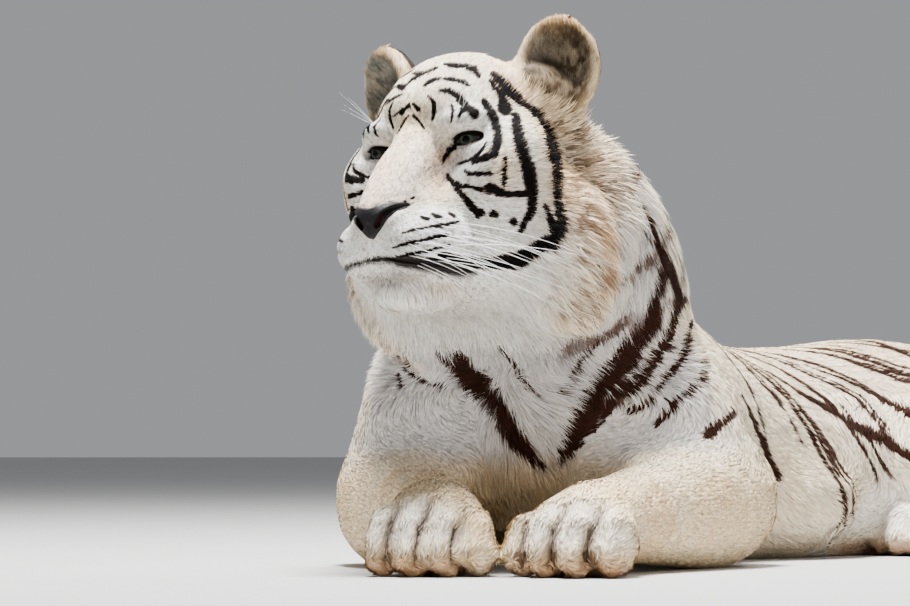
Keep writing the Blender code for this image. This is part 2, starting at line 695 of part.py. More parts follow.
if __name__ == "__main__":
    main()
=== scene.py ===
"""White tiger, life size, lying on a museum floor: skin, coat, eyes, nose, whiskers, claws and studio."""

import logging
import math
from dataclasses import dataclass, field
from enum import IntEnum
from typing import Any, Iterable, Sequence

import bmesh
import bpy
import numpy as np
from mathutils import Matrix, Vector
from mathutils.bvhtree import BVHTree
from mathutils.kdtree import KDTree


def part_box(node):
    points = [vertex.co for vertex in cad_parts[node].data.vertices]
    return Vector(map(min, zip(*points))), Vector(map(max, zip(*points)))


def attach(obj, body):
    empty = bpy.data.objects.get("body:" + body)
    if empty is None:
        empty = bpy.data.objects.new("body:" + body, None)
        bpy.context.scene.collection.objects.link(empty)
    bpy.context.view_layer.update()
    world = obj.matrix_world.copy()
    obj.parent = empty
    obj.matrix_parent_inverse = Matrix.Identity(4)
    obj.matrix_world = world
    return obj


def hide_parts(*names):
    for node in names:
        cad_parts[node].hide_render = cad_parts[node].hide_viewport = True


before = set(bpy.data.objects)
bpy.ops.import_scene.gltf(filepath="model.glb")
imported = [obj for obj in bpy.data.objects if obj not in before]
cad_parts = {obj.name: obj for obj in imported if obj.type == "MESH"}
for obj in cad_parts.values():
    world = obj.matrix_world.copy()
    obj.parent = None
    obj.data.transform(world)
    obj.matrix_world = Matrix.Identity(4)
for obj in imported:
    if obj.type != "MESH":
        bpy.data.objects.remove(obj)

Array = np.ndarray
log = logging.getLogger("white_tiger")

MM = 0.001
EYE_RADIUS = 0.0175
EYE_SET_BACK = 0.0165  # the eyeballs' centres lie this far behind the point between the eyes
EYES_AT = np.array((-0.108, -0.250, 0.487))  # that point in the maker's frame
SKIN_STEP = 0.0036  # size of the skin's quads
CUT_CLOSING = 0.0007  # the solids' copies swell by this, which closes the cuts between them
PATCH = 0.003  # width of one tuft's patch on the bake map
FLESH = ("head", "jaw", "nose", "ear", "neck", "trunk", "foreleg", "forepaw", "hindleg", "hindpaw", "tail")


# ---------------------------------------------------------------- numbers and noise
def smooth(values: Array, low: float, high: float) -> Array:
    """A soft step: 0 below low, 1 above high, t * t * (3 - 2 t) between; it falls where high is the less."""
    t = np.clip((values - low) / (high - low), 0.0, 1.0)
    return t * t * (3.0 - 2.0 * t)


def unit(vectors: Array) -> Array:
    """The same directions at length one."""
    return vectors / np.maximum(np.linalg.norm(vectors, axis=-1, keepdims=True), 1e-9)


def lattice(cells: Array, seed: int) -> Array:
    """A fixed scattered number for each whole-number cell, by multiplying and folding its bits.

    Args:
        cells: Rows of three whole numbers.
        seed: Which scatter is wanted.

    Returns:
        One number from -1 to 1 for each row.
    """
    mixed = cells[:, 0] * 374761393 + cells[:, 1] * 668265263 + cells[:, 2] * 2246822519 + seed * 3266489917
    mixed = (mixed ^ (mixed >> 13)) * 1274126177
    mixed = mixed ^ (mixed >> 16)
    return (mixed & 0xFFFFFF) / float(0x7FFFFF) - 1.0


def noise(points: Array, size: float, seed: int = 0) -> Array:
    """Smooth noise: the scattered numbers at a cell's eight corners, blended by soft steps.

    Args:
        points: Rows of x, y and z.
        size: Width of one cell in metres.
        seed: Which scatter is wanted.

    Returns:
        One number from -1 to 1 for each point.
    """
    scaled = points / size
    base = np.floor(scaled).astype(np.int64)
    part = scaled - base
    part = part * part * (3.0 - 2.0 * part)
    total = np.zeros(len(points))
    for corner in np.ndindex(2, 2, 2):
        share = np.prod(np.where(np.array(corner) == 1, part, 1.0 - part), axis=1)
        total += share * lattice(base + np.array(corner), seed)
    return total


def drift(points: Array, size: float, seed: int) -> Array:
    """Three noises side by side, as a wandering direction."""
    return np.stack([noise(points, size, seed + k) for k in range(3)], axis=1)


def paint(red: int, green: int, blue: int) -> Array:
    """Linear red, green and blue from screen values of 0 to 255, by the usual 2.4 power curve."""
    screen = np.array((red, green, blue)) / 255.0
    return np.where(screen > 0.04045, ((screen + 0.055) / 1.055) ** 2.4, screen / 12.92)


def blend(below: Array, above: Array, share: Array) -> Array:
    """Rows of colour with another colour, or other rows, laid over them by a share for each row."""
    return below + (above - below) * share[:, None]


def mixed(below: Array, above: Array | float, share: Array) -> Array:
    """Numbers moved towards others by a share from 0 to 1."""
    return below * (1.0 - share) + above * share


def one_side(local: Array) -> Array:
    """Rows of left, forward and up, with the right side laid over the left."""
    return np.stack([np.abs(local[:, 0]), local[:, 1], local[:, 2]], axis=1)


def circle(count: int) -> Array:
    """The angles of evenly spaced places round a whole turn."""
    return np.arange(count) / count * 2.0 * math.pi


def evened_ring(ring: Array, rounds: int, axis: int = 0) -> Array:
    """Draws each value round a ring halfway to the mean of its two neighbours.

    Args:
        ring: The values.
        rounds: How often.
        axis: The axis that runs round the ring.

    Returns:
        The evened values.
    """
    for _ in range(rounds):
        ring = 0.5 * ring + 0.25 * (np.roll(ring, 1, axis=axis) + np.roll(ring, -1, axis=axis))
    return ring


# ---------------------------------------------------------------- frames of the body
@dataclass(frozen=True)
class Axes:
    """Left, forward and up from an origin."""

    origin: Array
    rows: Array

    def local(self, points: Array) -> Array:
        """World points as rows of left, forward and up."""
        return (points - self.origin) @ self.rows.T

    def world(self, points: Array) -> Array:
        """Rows of left, forward and up as world points."""
        return np.asarray(points) @ self.rows + self.origin

    def ways(self, directions: Array) -> Array:
        """Directions in these axes as world directions."""
        return np.asarray(directions) @ self.rows


def box_of(node: str) -> tuple[Array, Array]:
    """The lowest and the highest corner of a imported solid's box."""
    low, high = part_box(node)
    return np.array(low), np.array(high)


def box_centre(node: str) -> Array:
    """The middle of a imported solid's box."""
    return sum(box_of(node)) / 2.0


@dataclass(frozen=True)
class Bearings:
    """Where the head and the whole body are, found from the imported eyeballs."""

    head: Axes
    home: Array

    @classmethod
    def found(cls) -> "Bearings":
        """Reads the eyeballs' boxes.

        Returns:
            The head's axes, with their origin between the eyes, and the maker's origin.
        """
        left_eye, right_eye = box_centre("eye_left"), box_centre("eye_right")
        left = unit(left_eye - right_eye)
        forward = unit(np.array((left[1], -left[0], 0.0)))
        up = np.cross(left, -forward)
        origin = (left_eye + right_eye) / 2.0 + forward * EYE_SET_BACK
        return cls(Axes(origin, np.array((left, forward, up))), origin - EYES_AT)


# ---------------------------------------------------------------- meshes
def mesh_object(
    name: str,
    points: Array,
    faces: Array,
    colours: Array | None = None,
    bake_map: Array | None = None,
    normals: Array | None = None,
) -> bpy.types.Object:
    """Puts whole arrays into a mesh.

    Args:
        name: The piece's name.
        points: Rows of x, y and z.
        faces: Rows of corner numbers, all with three or all with four.
        colours: Linear red, green and blue for each point.
        bake_map: The bake map's two numbers for each corner of each face.
        normals: The direction by which each point is shaded, if not the faces' own.

    Returns:
        The new object, smooth shaded, at the origin.
    """
    mesh = bpy.data.meshes.new(name)
    mesh.vertices.add(len(points))
    mesh.vertices.foreach_set("co", np.asarray(points, np.float32).ravel())
    mesh.loops.add(faces.size)
    mesh.loops.foreach_set("vertex_index", np.asarray(faces, np.int32).ravel())
    mesh.polygons.add(len(faces))
    mesh.polygons.foreach_set("loop_start", np.arange(0, faces.size, faces.shape[1], dtype=np.int32))
    mesh.polygons.foreach_set("use_smooth", np.ones(len(faces), dtype=bool))
    mesh.update(calc_edges=True)
    if colours is not None:
        layer = mesh.color_attributes.new(name="pelt", type="FLOAT_COLOR", domain="POINT")
        rgba = np.concatenate([colours, np.ones((len(points), 1))], axis=1)
        layer.data.foreach_set("color", rgba.astype(np.float32).ravel())
    if bake_map is not None:
        layer = mesh.uv_layers.new(name="OFBake")
        layer.data.foreach_set("uv", bake_map.astype(np.float32).ravel())
    if normals is not None:
        mesh.normals_split_custom_set_from_vertices(normals.tolist())
    made = bpy.data.objects.new(name, mesh)
    bpy.context.scene.collection.objects.link(made)
    return made


def grid_faces(rows: int, columns: int, ring: bool = False, offset: int = 0) -> Array:
    """The quads of a grid of points laid row after row.

    Args:
        rows: Number of rows.
        columns: Number of points in a row.
        ring: Whether each row closes on itself.
        offset: Number of the first point.

    Returns:
        Rows of four corner numbers.
    """
    across = columns if ring else columns - 1
    r, c = np.meshgrid(np.arange(rows - 1), np.arange(across), indexing="ij")
    n = (c + 1) % columns
    below, above = r * columns, (r + 1) * columns
    return np.stack([below + c, below + n, above + n, above + c], axis=-1).reshape(-1, 4) + offset


def mesh_arrays(mesh: bpy.types.Mesh) -> tuple[Array, Array, Array]:
    """Reads a mesh as arrays.

    Args:
        mesh: Any mesh.

    Returns:
        Its points, triangles and edges.
    """
    mesh.calc_loop_triangles()
    found = []
    for items, name, width, kind in (
        (mesh.vertices, "co", 3, np.float32),
        (mesh.loop_triangles, "vertices", 3, np.int32),
        (mesh.edges, "vertices", 2, np.int32),
    ):
        values = np.empty(len(items) * width, kind)
        items.foreach_get(name, values)
        found.append(values.reshape(-1, width))
    return found[0].astype(float), found[1], found[2]


def point_normals(points: Array, triangles: Array) -> Array:
    """Each point's normal, as the sum of its triangles' area vectors.

    Args:
        points: Rows of x, y and z.
        triangles: Rows of three corner numbers.

    Returns:
        Rows of unit normals.
    """
    a, b, c = (points[triangles[:, k]] for k in range(3))
    faces = np.cross(b - a, c - a)
    total = np.zeros_like(points)
    for k in range(3):
        for axis in range(3):
            total[:, axis] += np.bincount(triangles[:, k], faces[:, axis], len(points))
    return unit(total)


def relaxed(values: Array, edges: Array, rounds: int, share: Array | float = 1.0) -> Array:
    """Draws each value halfway to the mean of its neighbours, again and again.

    Args:
        values: One row for each point.
        edges: Pairs of point numbers.
        rounds: How often.
        share: How much of each move is made, for all points or for each.

    Returns:
        The evened values.
    """
    count = len(values)
    degree = np.maximum(np.bincount(edges.ravel(), minlength=count), 1)[:, None]
    share = np.reshape(share, (-1, 1)) if np.ndim(share) else share
    for _ in range(rounds):
        total = np.empty_like(values)
        for axis in range(values.shape[1]):
            total[:, axis] = np.bincount(edges[:, 0], values[edges[:, 1], axis], count)
            total[:, axis] += np.bincount(edges[:, 1], values[edges[:, 0], axis], count)
        values = values + 0.5 * share * (total / degree - values)
    return values


def line_distances(points: Array, line: Array) -> tuple[Array, Array, Array]:
    """How points lie to a line of straight lengths, in any number of dimensions.

    Args:
        points: Rows of coordinates.
        line: The line's corners, one a row.

    Returns:
        The distance to the nearest length, its number and how far along it, from 0 to 1.
    """
    best = np.full(len(points), np.inf)
    number = np.zeros(len(points), int)
    along = np.zeros(len(points))
    for k, (start, stop) in enumerate(zip(line, line[1:])):
        run = stop - start
        t = np.clip((points - start) @ run / max(run @ run, 1e-12), 0.0, 1.0)
        gap = np.linalg.norm(points - start - t[:, None] * run, axis=1)
        nearer = gap < best
        best = np.where(nearer, gap, best)
        number = np.where(nearer, k, number)
        along = np.where(nearer, t, along)
    return best, number, along


def between(values: Array, number: Array, along: Array) -> Array:
    """What values at a line's corners become at places given by their length and how far along it."""
    share = along.reshape(-1, *(1 for _ in values.shape[1:]))
    return values[number] * (1.0 - share) + values[number + 1] * share


# ---------------------------------------------------------------- markings
class Side(IntEnum):
    """The animal's two sides, as the sign of the distance to its left."""

    LEFT = 1
    RIGHT = -1


@dataclass(frozen=True)
class Stroke:
    """One dark marking: (across, up, half width) in millimetres at a few points along it."""

    points: tuple[tuple[float, float, float], ...]
    depth: float = 1.0

    def cover(self, chart: Array, fray: Array) -> Array:
        """How dark the stroke makes each point of the chart.

        The half width is blended from point to point, and the edge is a soft step about a
        quarter of that width wide, moved in and out by the fray.

        Args:
            chart: Rows of across and up in metres.
            fray: A number for each row, in metres, which moves the edge.

        Returns:
            From 0 to the stroke's depth for each row.
        """
        line = np.array(self.points) * MM
        path, widths = line[:, :2], line[:, 2]
        reach = widths.max() * 2.0 + 2.0 * MM
        low, high = path.min(axis=0) - reach, path.max(axis=0) + reach
        near = np.flatnonzero(np.all((chart > low) & (chart < high), axis=1))
        shade = np.zeros(len(chart))
        if len(near) == 0:
            return shade
        gap, number, along = line_distances(chart[near], path)
        width = between(widths, number, along)
        gap = gap + fray[near] * np.minimum(width / (4.0 * MM), 1.0)
        shade[near] = self.depth * smooth(gap, width * 1.2 + 0.5 * MM, width * 0.8 - 0.3 * MM)
        return shade


def strokes(*lines: tuple[tuple[float, float, float], ...], depth: float = 1.0) -> list[Stroke]:
    """One stroke for each line of points, all of one depth."""
    return [Stroke(line, depth) for line in lines]


def darkest(chosen: Sequence[Stroke], chart: Array, fray: Array) -> Array:
    """The darkest of several strokes at each point of a chart.

    Args:
        chosen: The strokes.
        chart: Rows of across and up in metres.
        fray: A number for each row, in metres, which moves the strokes' edges.

    Returns:
        From 0 to 1 for each row.
    """
    shade = np.zeros(len(chart))
    for stroke in chosen:
        shade = np.maximum(shade, stroke.cover(chart, fray))
    return shade


@dataclass(frozen=True)
class Bars:
    """Dark bars across a length, one to each step, that wander and fray by noise."""

    step: float  # metres from bar to bar
    wander: tuple[float, float, int]  # a noise's cells, how far it shifts the bars, and its seed
    fray: tuple[float, float, int]  # the same for their edges, in shares of a step
    soft: float = 0.05  # half the width of an edge, in shares of a step

    def cover(self, points: Array, along: Array, width: Array) -> Array:
        """How dark the bars make each point.

        Args:
            points: Rows of world x, y and z.
            along: Each point's place on the length.
            width: Half a bar's width there, as a share of a step.

        Returns:
            From 0 to 1 for each point.
        """
        shift, fray = (noise(points, cells, seed) * reach for cells, reach, seed in (self.wander, self.fray))
        phase = (along + shift) / self.step
        gap = np.abs(phase - np.floor(phase) - 0.5)
        return smooth(gap + fray, width + self.soft, width - self.soft)


CHEEK_STROKES = strokes(
    ((71, 49, 4), (84, 30, 5), (88, 13, 5), (84, -9, 5), (60, -18, 3)),
    ((80, 74, 3), (93, 54, 5), (96, 41, 9)),
    ((84, 80, 4), (100, 64, 7), (120, 48, 5), (138, 33, 4)),
    ((108, 32, 5), (112, 8, 8), (121, -25, 8), (125, -47, 7), (125, -75, 6), (114, -97, 3)),
    ((121, -54, 4), (98, -54, 4), (80, -48, 7)),
    ((135, 39, 5), (145, 19, 7), (152, -25, 6), (156, -57, 6), (161, -90, 5)),
    ((161, -90, 5), (149, -112, 8)),
    ((142, -68, 3), (152, -95, 5), (156, -114, 5)),
    ((24, -124, 6), (57, -131, 8), (88, -133, 7), (114, -130, 11), (138, -116, 8), (158, -102, 7)),
)
FINE_STROKES = strokes(
    ((96, -14, 2.4), (95, -42, 3)),
    ((60, -31, 2.6), (80, -31, 3.2)),
    ((31, -35, 3), (46, -53, 4), (60, -70, 6), (66, -79, 3)),
    ((42, -41, 2), (48, -46, 2.6)),
    ((52, -44, 2), (70, -49, 2.6)),
    ((44, -20, 1.4), (59, -14, 2.0), (70, -4, 2.0), (75, 4, 1.4)),
    ((52, -27, 1.8), (56, -31, 2.2)),
    ((38, -2, 2.6), (31, -5, 3.2), (26, -13, 2.4), (24, -20, 0.8)),
    ((-20, -97, 1.0), (-8, -93, 2.0), (6, -91, 1.6)),
    ((10, -90, 1.6), (24, -89, 2.5), (42, -86, 1.4)),
    ((-31, -113, 1.0), (-15, -109, 2.4), (4, -105, 2.8), (22, -101, 2.6), (36, -99, 1.2)),
    ((-29, -124, 1.0), (-12, -121, 2.2), (8, -118, 2.3), (31, -111, 1.4)),
    ((-22, -132, 0.9), (4, -130, 1.8), (26, -124, 1.0)),
    ((1, -80, 1.6), (9, -82, 2.0)),
    ((14, -76, 1.4), (17, -78, 2.8), (24, -80, 1.6)),
    ((32, -76, 1.4), (38, -80, 2.0)),
    ((-18, -63, 1.2), (-16, -63, 1.3)),
    ((-10, -60, 1.3), (-8, -59, 1.5)),
    depth=0.96,
)
BROW_STROKES = strokes(
    ((21, 63, 1.5), (32, 63, 3.5), (42, 57, 4.5), (50, 45, 5), (61, 38, 5.5)),
    ((50, 44, 3), (43, 33, 1.5)),
    ((27, 77, 2), (40, 76, 3.2), (49, 73, 3.2), (55, 69, 1.6)),
    ((8, 57, 1.5), (14, 49, 2.6), (15, 40, 3), (13, 30, 1.2)),
    ((-9, 49, 1.5), (-3, 42, 2.4)),
    ((-9, 37, 1.2), (-2, 30, 1.9), (4, 21, 1.1)),
    ((35, 47, 1.2), (37, 40, 1.9), (34, 26, 1.0)),
    ((-31, 35, 1.0), (-21, 43, 1.9), (-13, 46, 1.5)),
    ((4, 69, 1.5), (13, 75, 2.4), (23, 78, 1.3)),
    ((-21, 66, 1.0), (-9, 77, 1.7), (6, 84, 1.9), (20, 89, 1.3)),
    ((29, 93, 1.5), (40, 91, 3.4), (49, 91, 2)),
    ((52, 91, 3), (62, 87, 4.5), (67, 81, 3)),
    ((-42, 46, 0.8), (-33, 54, 1.5), (-22, 60, 1.1)),
)
MUZZLE_DOTS = strokes(
    *(((x, y, 4.4), (x + 2, y - 1, 4.4)) for x, y in ((69, -74), (83, -75), (105, -84))), depth=0.90
)
CHEST_STROKES = strokes(
    (
        (-166, 300, 7), (-122, 264, 12), (-95, 236, 13), (-72, 203, 13), (-45, 168, 12), (-18, 136, 8),
        (-3, 120, 3),
    ),
    (
        (110, 392, 2), (139, 360, 5), (157, 318, 6), (144, 268, 7), (112, 228, 8), (72, 188, 8), (32, 148, 7),
        (10, 128, 3),
    ),
    ((132, 330, 4), (122, 286, 11), (92, 246, 13), (62, 208, 13), (40, 172, 10), (18, 138, 5)),
    ((-187, 305, 4), (-172, 268, 8), (-160, 240, 5)),
    depth=0.96,
) + strokes(
    ((173, 292, 2), (167, 257, 4), (150, 232, 5), (129, 209, 5), (93, 183, 2.5)),
    ((188, 244, 2), (183, 222, 3.5), (158, 198, 5), (127, 174, 5)),
    ((-66, 272, 1.5), (-30, 228, 2), (-5, 199, 2)),
    ((-177, 258, 2), (-157, 228, 2.5), (-135, 216, 2.5), (-115, 209, 2)),
    ((-171, 223, 5), (-168, 214, 4)),
    ((44, 310, 6), (49, 299, 6)),
    ((228, 184, 3), (207, 168, 5), (191, 158, 7)),
    depth=0.92,
) + strokes(
    ((112, 420, 3), (128, 374, 5), (136, 344, 5), (131, 312, 4), (108, 282, 2)),
    ((58, 262, 1.5), (38, 232, 2.6), (20, 200, 1.4)),
    ((150, 430, 3), (161, 396, 4), (166, 360, 3)),
    depth=0.90,
)
FLANK_STROKES = strokes(
    ((292, 258, 3), (322, 278, 6), (358, 296, 7), (413, 330, 5)),
    ((452, 150, 2), (520, 205, 5), (600, 235, 8), (690, 262, 9), (740, 292, 6)),
    ((640, 120, 2), (690, 170, 6), (769, 226, 7), (820, 262, 5)),
    depth=0.92,
)


def dye(red: int, green: int, blue: int) -> Any:
    """A field that holds one colour, from its screen values."""
    return field(default_factory=lambda: paint(red, green, blue))


@dataclass(frozen=True)
class Dyes:
    """The coat's colours."""

    white: Array = dye(247, 239, 226)
    cool: Array = dye(248, 247, 244)
    # partly the chest's own grey-white fur, partly painted shade under the head
    grey: Array = dye(206, 206, 210)
    cream: Array = dye(238, 207, 158)
    tan: Array = dye(172, 120, 76)
    brown: Array = dye(104, 70, 46)
    rust: Array = dye(88, 46, 24)
    rose: Array = dye(234, 194, 166)
    orange: Array = dye(216, 138, 66)
    face_dark: Array = dye(10, 6, 5)
    body_dark: Array = dye(44, 22, 13)
    # painted shade low in the ears' hollows
    ear_dark: Array = dye(26, 17, 13)
    # the insides of the two ears: one fur, painted once in shade (left) and once in light (right)
    ear_left: Array = dye(54, 44, 34)
    ear_right: Array = dye(104, 110, 106)
    ear_black: Array = dye(18, 14, 13)
    buff: Array = dye(208, 168, 118)


@dataclass
class Markings:
    """The coat's colour at any place, worked out for the skin and for each tuft alike."""

    bearings: Bearings
    dyes: Dyes = field(default_factory=Dyes)
    azimuth: float = math.radians(9.8)  # the side from which the head's chart is laid
    climb: float = math.radians(-4.5)
    chest_turn: float = math.radians(8.0)
    ring_step: float = 0.082  # usual distance between the flank's stripes
    seed: int = 11

    def head_plane(self) -> tuple[Array, Array, Array]:
        """The head chart's axes.

        Returns:
            Directions across, up and towards the onlooker.
        """
        flat = math.cos(self.climb)
        away = np.array((math.sin(self.azimuth) * flat, -math.cos(self.azimuth) * flat, math.sin(self.climb)))
        across = np.array((math.cos(self.azimuth), math.sin(self.azimuth), 0.0))
        return across, np.cross(away, across), away

    def face_shade(self, local: Array, facing: Array, points: Array) -> tuple[Array, Array]:
        """How dark the face's strokes make each point.

        Both sides of the head are read from one chart, the right one through its mirror
        image. Strokes at the forehead's middle are read straight from the chart as well.

        Args:
            local: Rows of left, forward and up in the head's axes.
            facing: The normals in the same axes.
            points: The same points in the world, for the fray of the edges.

        Returns:
            The shade, and how far each point faces the chart.
        """
        across, up, away = self.head_plane()
        fray = noise(points, 0.0045, self.seed) * 1.3 * MM
        warp = drift(points, 0.030, self.seed + 3)[:, :2] * 1.6 * MM
        far = smooth(local[:, 0], -0.016, -0.028) * smooth(local[:, 2], -0.110, -0.125)
        shades, faced = [], []
        mirror = np.where(local[:, 0] < 0.0, -1.0, 1.0)
        every = CHEEK_STROKES + FINE_STROKES + BROW_STROKES + MUZZLE_DOTS
        for left, chosen in ((mirror, every), (np.ones(len(local)), BROW_STROKES)):
            flip = np.stack([left, np.ones(len(local)), np.ones(len(local))], axis=1)
            place, turn = (self.bearings.head.ways(rows * flip) for rows in (local, facing))
            faced.append(smooth(turn @ away, -0.05, 0.25))
            chart = np.stack([place @ across, place @ up], axis=1) + warp
            shades.append(darkest(chosen, chart, fray) * faced[-1] * (1.0 - 0.8 * far))
        return np.maximum(shades[0], shades[1] * smooth(local[:, 0], -0.050, -0.030)), faced[0]

    def nape_shade(self, local: Array, points: Array) -> Array:
        """Narrow bars across the crown and behind the cheeks.

        They are rings about the line from the nose to the nape, 34 mm apart, drawn from the
        distance behind the eyes with a slow wander, and thinner towards the throat.

        Args:
            local: Rows of left, forward and up in the head's axes.
            points: The same points in the world.

        Returns:
            From 0 to 1 for each point.
        """
        rings = Bars(0.034, (0.060, 0.013, self.seed + 20), (0.006, 0.045, self.seed + 22))
        width = 0.16 + 0.07 * noise(points, 0.045, self.seed + 21)
        behind = -local[:, 1] + 0.25 * np.abs(local[:, 0])
        return rings.cover(points, behind, width) * smooth(local[:, 2], -0.13, -0.02)

    def chest_shade(self, points: Array, normals: Array) -> Array:
        """How dark the chest's strokes make each point.

        Args:
            points: Rows of world x, y and z.
            normals: The surface's normals there.

        Returns:
            From 0 to 1 for each point.
        """
        place = points - self.bearings.home
        across = np.array((math.cos(self.chest_turn), math.sin(self.chest_turn), 0.0))
        away = np.array((math.sin(self.chest_turn), -math.cos(self.chest_turn), 0.0))
        fray = noise(points, 0.007, self.seed + 30) * 2.4 * MM
        warp = drift(points, 0.045, self.seed + 31)[:, :2] * 5.0 * MM
        chart = np.stack([place @ across, place[:, 2]], axis=1) + warp
        return darkest(CHEST_STROKES, chart, fray) * smooth(normals @ away, 0.0, 0.3)


# ---------------------------------------------------------------- lines along the body
SPINE = (
    (-0.008, -0.070, 0.190),
    (0.000, 0.020, 0.200),
    (0.020, 0.140, 0.178),
    (0.070, 0.300, 0.140),
    (0.145, 0.450, 0.118),
    (0.240, 0.600, 0.112),
    (0.345, 0.740, 0.120),
    (0.440, 0.865, 0.120),
    (0.500, 0.935, 0.110),
)
TAIL = (
    (0.480, 0.915, 0.135),
    (0.545, 1.000, 0.082),
    (0.620, 1.065, 0.042),
    (0.720, 1.095, 0.035),
    (0.825, 1.060, 0.034),
    (0.900, 0.970, 0.033),
    (0.928, 0.860, 0.032),
    (0.905, 0.750, 0.030),
    (0.855, 0.665, 0.026),
)
NECK = ((-0.040, -0.112, 0.478), (-0.008, -0.050, 0.400), (0.012, 0.020, 0.300), (0.020, 0.140, 0.178))
FORELEGS = (
    (
        (0.124, 0.000, 0.290), (0.190, 0.050, 0.150), (0.214, 0.045, 0.078), (0.114, -0.245, 0.062),
        (0.080, -0.400, 0.03),
    ),
    (
        (-0.136, -0.010, 0.285), (-0.185, 0.020, 0.150), (-0.196, 0.005, 0.078), (-0.090, -0.235, 0.062),
        (-0.106, -0.395, 0.03),
    ),
)
HINDLEGS = (
    (
        (0.455, 0.752, 0.150), (0.394, 0.510, 0.100), (0.597, 0.783, 0.048), (0.471, 0.561, 0.038),
        (0.385, 0.455, 0.03),
    ),
    (
        (0.315, 0.848, 0.150), (0.113, 0.701, 0.100), (0.291, 0.991, 0.048), (0.131, 0.791, 0.038),
        (0.060, 0.670, 0.03),
    ),
)


def curve_through(points: Array, steps: int = 8) -> Array:
    """A smooth line through points.

    Between two points it is the cubic that also heads from the one before to the one after.

    Args:
        points: Rows of coordinates.
        steps: Number of lengths between two points.

    Returns:
        Rows of coordinates along the line.
    """
    rows = np.asarray(points, float)
    ends = np.vstack([2 * rows[0] - rows[1], rows, 2 * rows[-1] - rows[-2]])
    t = (np.arange(steps) / steps)[:, None]
    parts = []
    for a, b, c, d in zip(ends, ends[1:], ends[2:], ends[3:]):
        bend = (c - a) * t + (2 * a - 5 * b + 4 * c - d) * t**2 + (3 * b - a - 3 * c + d) * t**3
        parts.append(b + bend / 2.0)
    return np.vstack([*parts, rows[-1:]])


@dataclass(frozen=True)
class Guide:
    """A line that a stretch of coat follows."""

    path: Array
    droop: float = 0.0  # how strongly the coat also points down

    @classmethod
    def through(cls, points: Sequence[Sequence[float]], home: Array, droop: float = 0.0) -> "Guide":
        """A guide through points of the maker's frame, whose origin in the world is home."""
        return cls(curve_through(np.array(points) + home), droop)

    def place(self, points: Array) -> tuple[Array, Array, Array]:
        """Where points lie along the guide.

        Args:
            points: Rows of world x, y and z.

        Returns:
            The length along the line, the nearest place on it, and its direction there.
        """
        lengths = np.linalg.norm(np.diff(self.path, axis=0), axis=1)
        starts = np.concatenate([[0.0], np.cumsum(lengths)])
        _, number, along = line_distances(points, self.path)
        corners = (starts, self.path, np.gradient(self.path, axis=0))
        length, nearest, turn = (between(values, number, along) for values in corners)
        return length, nearest, unit(turn)

    def lie(self, points: Array) -> Array:
        """The direction of the coat at each world point: along the line and down."""
        return self.place(points)[2] + np.array((0.0, 0.0, -self.droop))


@dataclass(frozen=True)
class Flank:
    """The trunk's own chart: along the spine, and down either side from the back's middle."""

    guide: Guide
    girth: float = 0.19  # metres round the trunk for a turn of one radian
    first: float = 0.165  # where along the spine the stripes begin
    last: float = 1.20  # and where they end
    corners: int = 7  # of a long stripe

    def chart(self, points: Array) -> tuple[Array, Array]:
        """Gives points on the chart.

        Args:
            points: Rows of world x, y and z.

        Returns:
            Rows of (along, down) in metres, and +1 for each point on the left side or -1.
        """
        along, middle, heading = self.guide.place(points)
        left = unit(np.stack([heading[:, 1], -heading[:, 0], np.zeros(len(points))], axis=1))
        off = points - middle
        side = np.sum(off * left, axis=1)
        angle = np.arctan2(np.abs(side), off[:, 2])
        return np.stack([along, angle * self.girth], axis=1), np.where(side > 0, 1.0, -1.0)

    def stripes(self, side: Side, step: float, seed: int) -> list[Stroke]:
        """The stripes of one side: long ones from the back, doubled ones, and short ones from below.

        Args:
            side: Which side.
            step: Usual distance between stripes.
            seed: Which scatter is wanted.

        Returns:
            The strokes, in millimetres on the chart.
        """
        draw = np.random.default_rng(seed + (7 if side > 0 else 0))
        found = []

        def add(alongs: Array, downs: Array, wide: Array, depth: float) -> None:
            """Adds a stroke from its places and half widths."""
            rows = np.stack([alongs / MM, downs / MM, wide], axis=1)
            found.append(Stroke(tuple(map(tuple, rows)), depth))

        place, count = self.first, self.corners
        while place < self.last:
            start = draw.uniform(-0.01, 0.02)
            stop = draw.uniform(0.27, 0.38)
            downs = np.linspace(start, stop, count)
            slant = draw.uniform(0.62, 0.95) if side > 0 and place < 0.80 else draw.uniform(0.20, 0.40)
            alongs = place + slant * downs + np.cumsum(draw.normal(0.0, 0.0055, count))
            wide = draw.uniform(6.0, 9.0) * np.sin(np.linspace(0.12, 0.96, count) * math.pi) ** 0.6
            add(alongs, downs, wide, 0.9)
            if draw.random() < 0.5:
                apart = np.sin(np.linspace(0.0, 1.0, count) * math.pi) * draw.uniform(0.018, 0.026)
                add((alongs + apart)[1:-1], downs[1:-1], wide[1:-1] * 0.65, 0.9)
            if draw.random() < 0.65:
                low = np.linspace(draw.uniform(0.19, 0.24), draw.uniform(0.36, 0.44), 5)
                under = place + step * 0.5 + slant * low + np.cumsum(draw.normal(0.0, 0.004, 5))
                add(under, low, draw.uniform(3.0, 4.5) * np.sin(np.linspace(0.1, 0.9, 5) * math.pi), 0.8)
            if draw.random() < 0.45:
                high = np.linspace(0.0, draw.uniform(0.08, 0.14), 4)
                over = place + step * 0.48 + slant * high + draw.normal(0.0, 0.003, 4)
                add(over, high, draw.uniform(3.0, 5.0) * np.array((0.8, 1.0, 0.8, 0.3)), 0.85)
            place += step * draw.uniform(0.78, 1.10)
        return found + (FLANK_STROKES if side > 0 else [])


EAR_SEAT = (0.1145, -0.130, 0.084)  # the left ear's middle: left, forward and up from between the eyes
EAR_TURNS = (26.0, 10.0, 6.0)  # degrees: turned outwards, leaning out, and leaning forwards


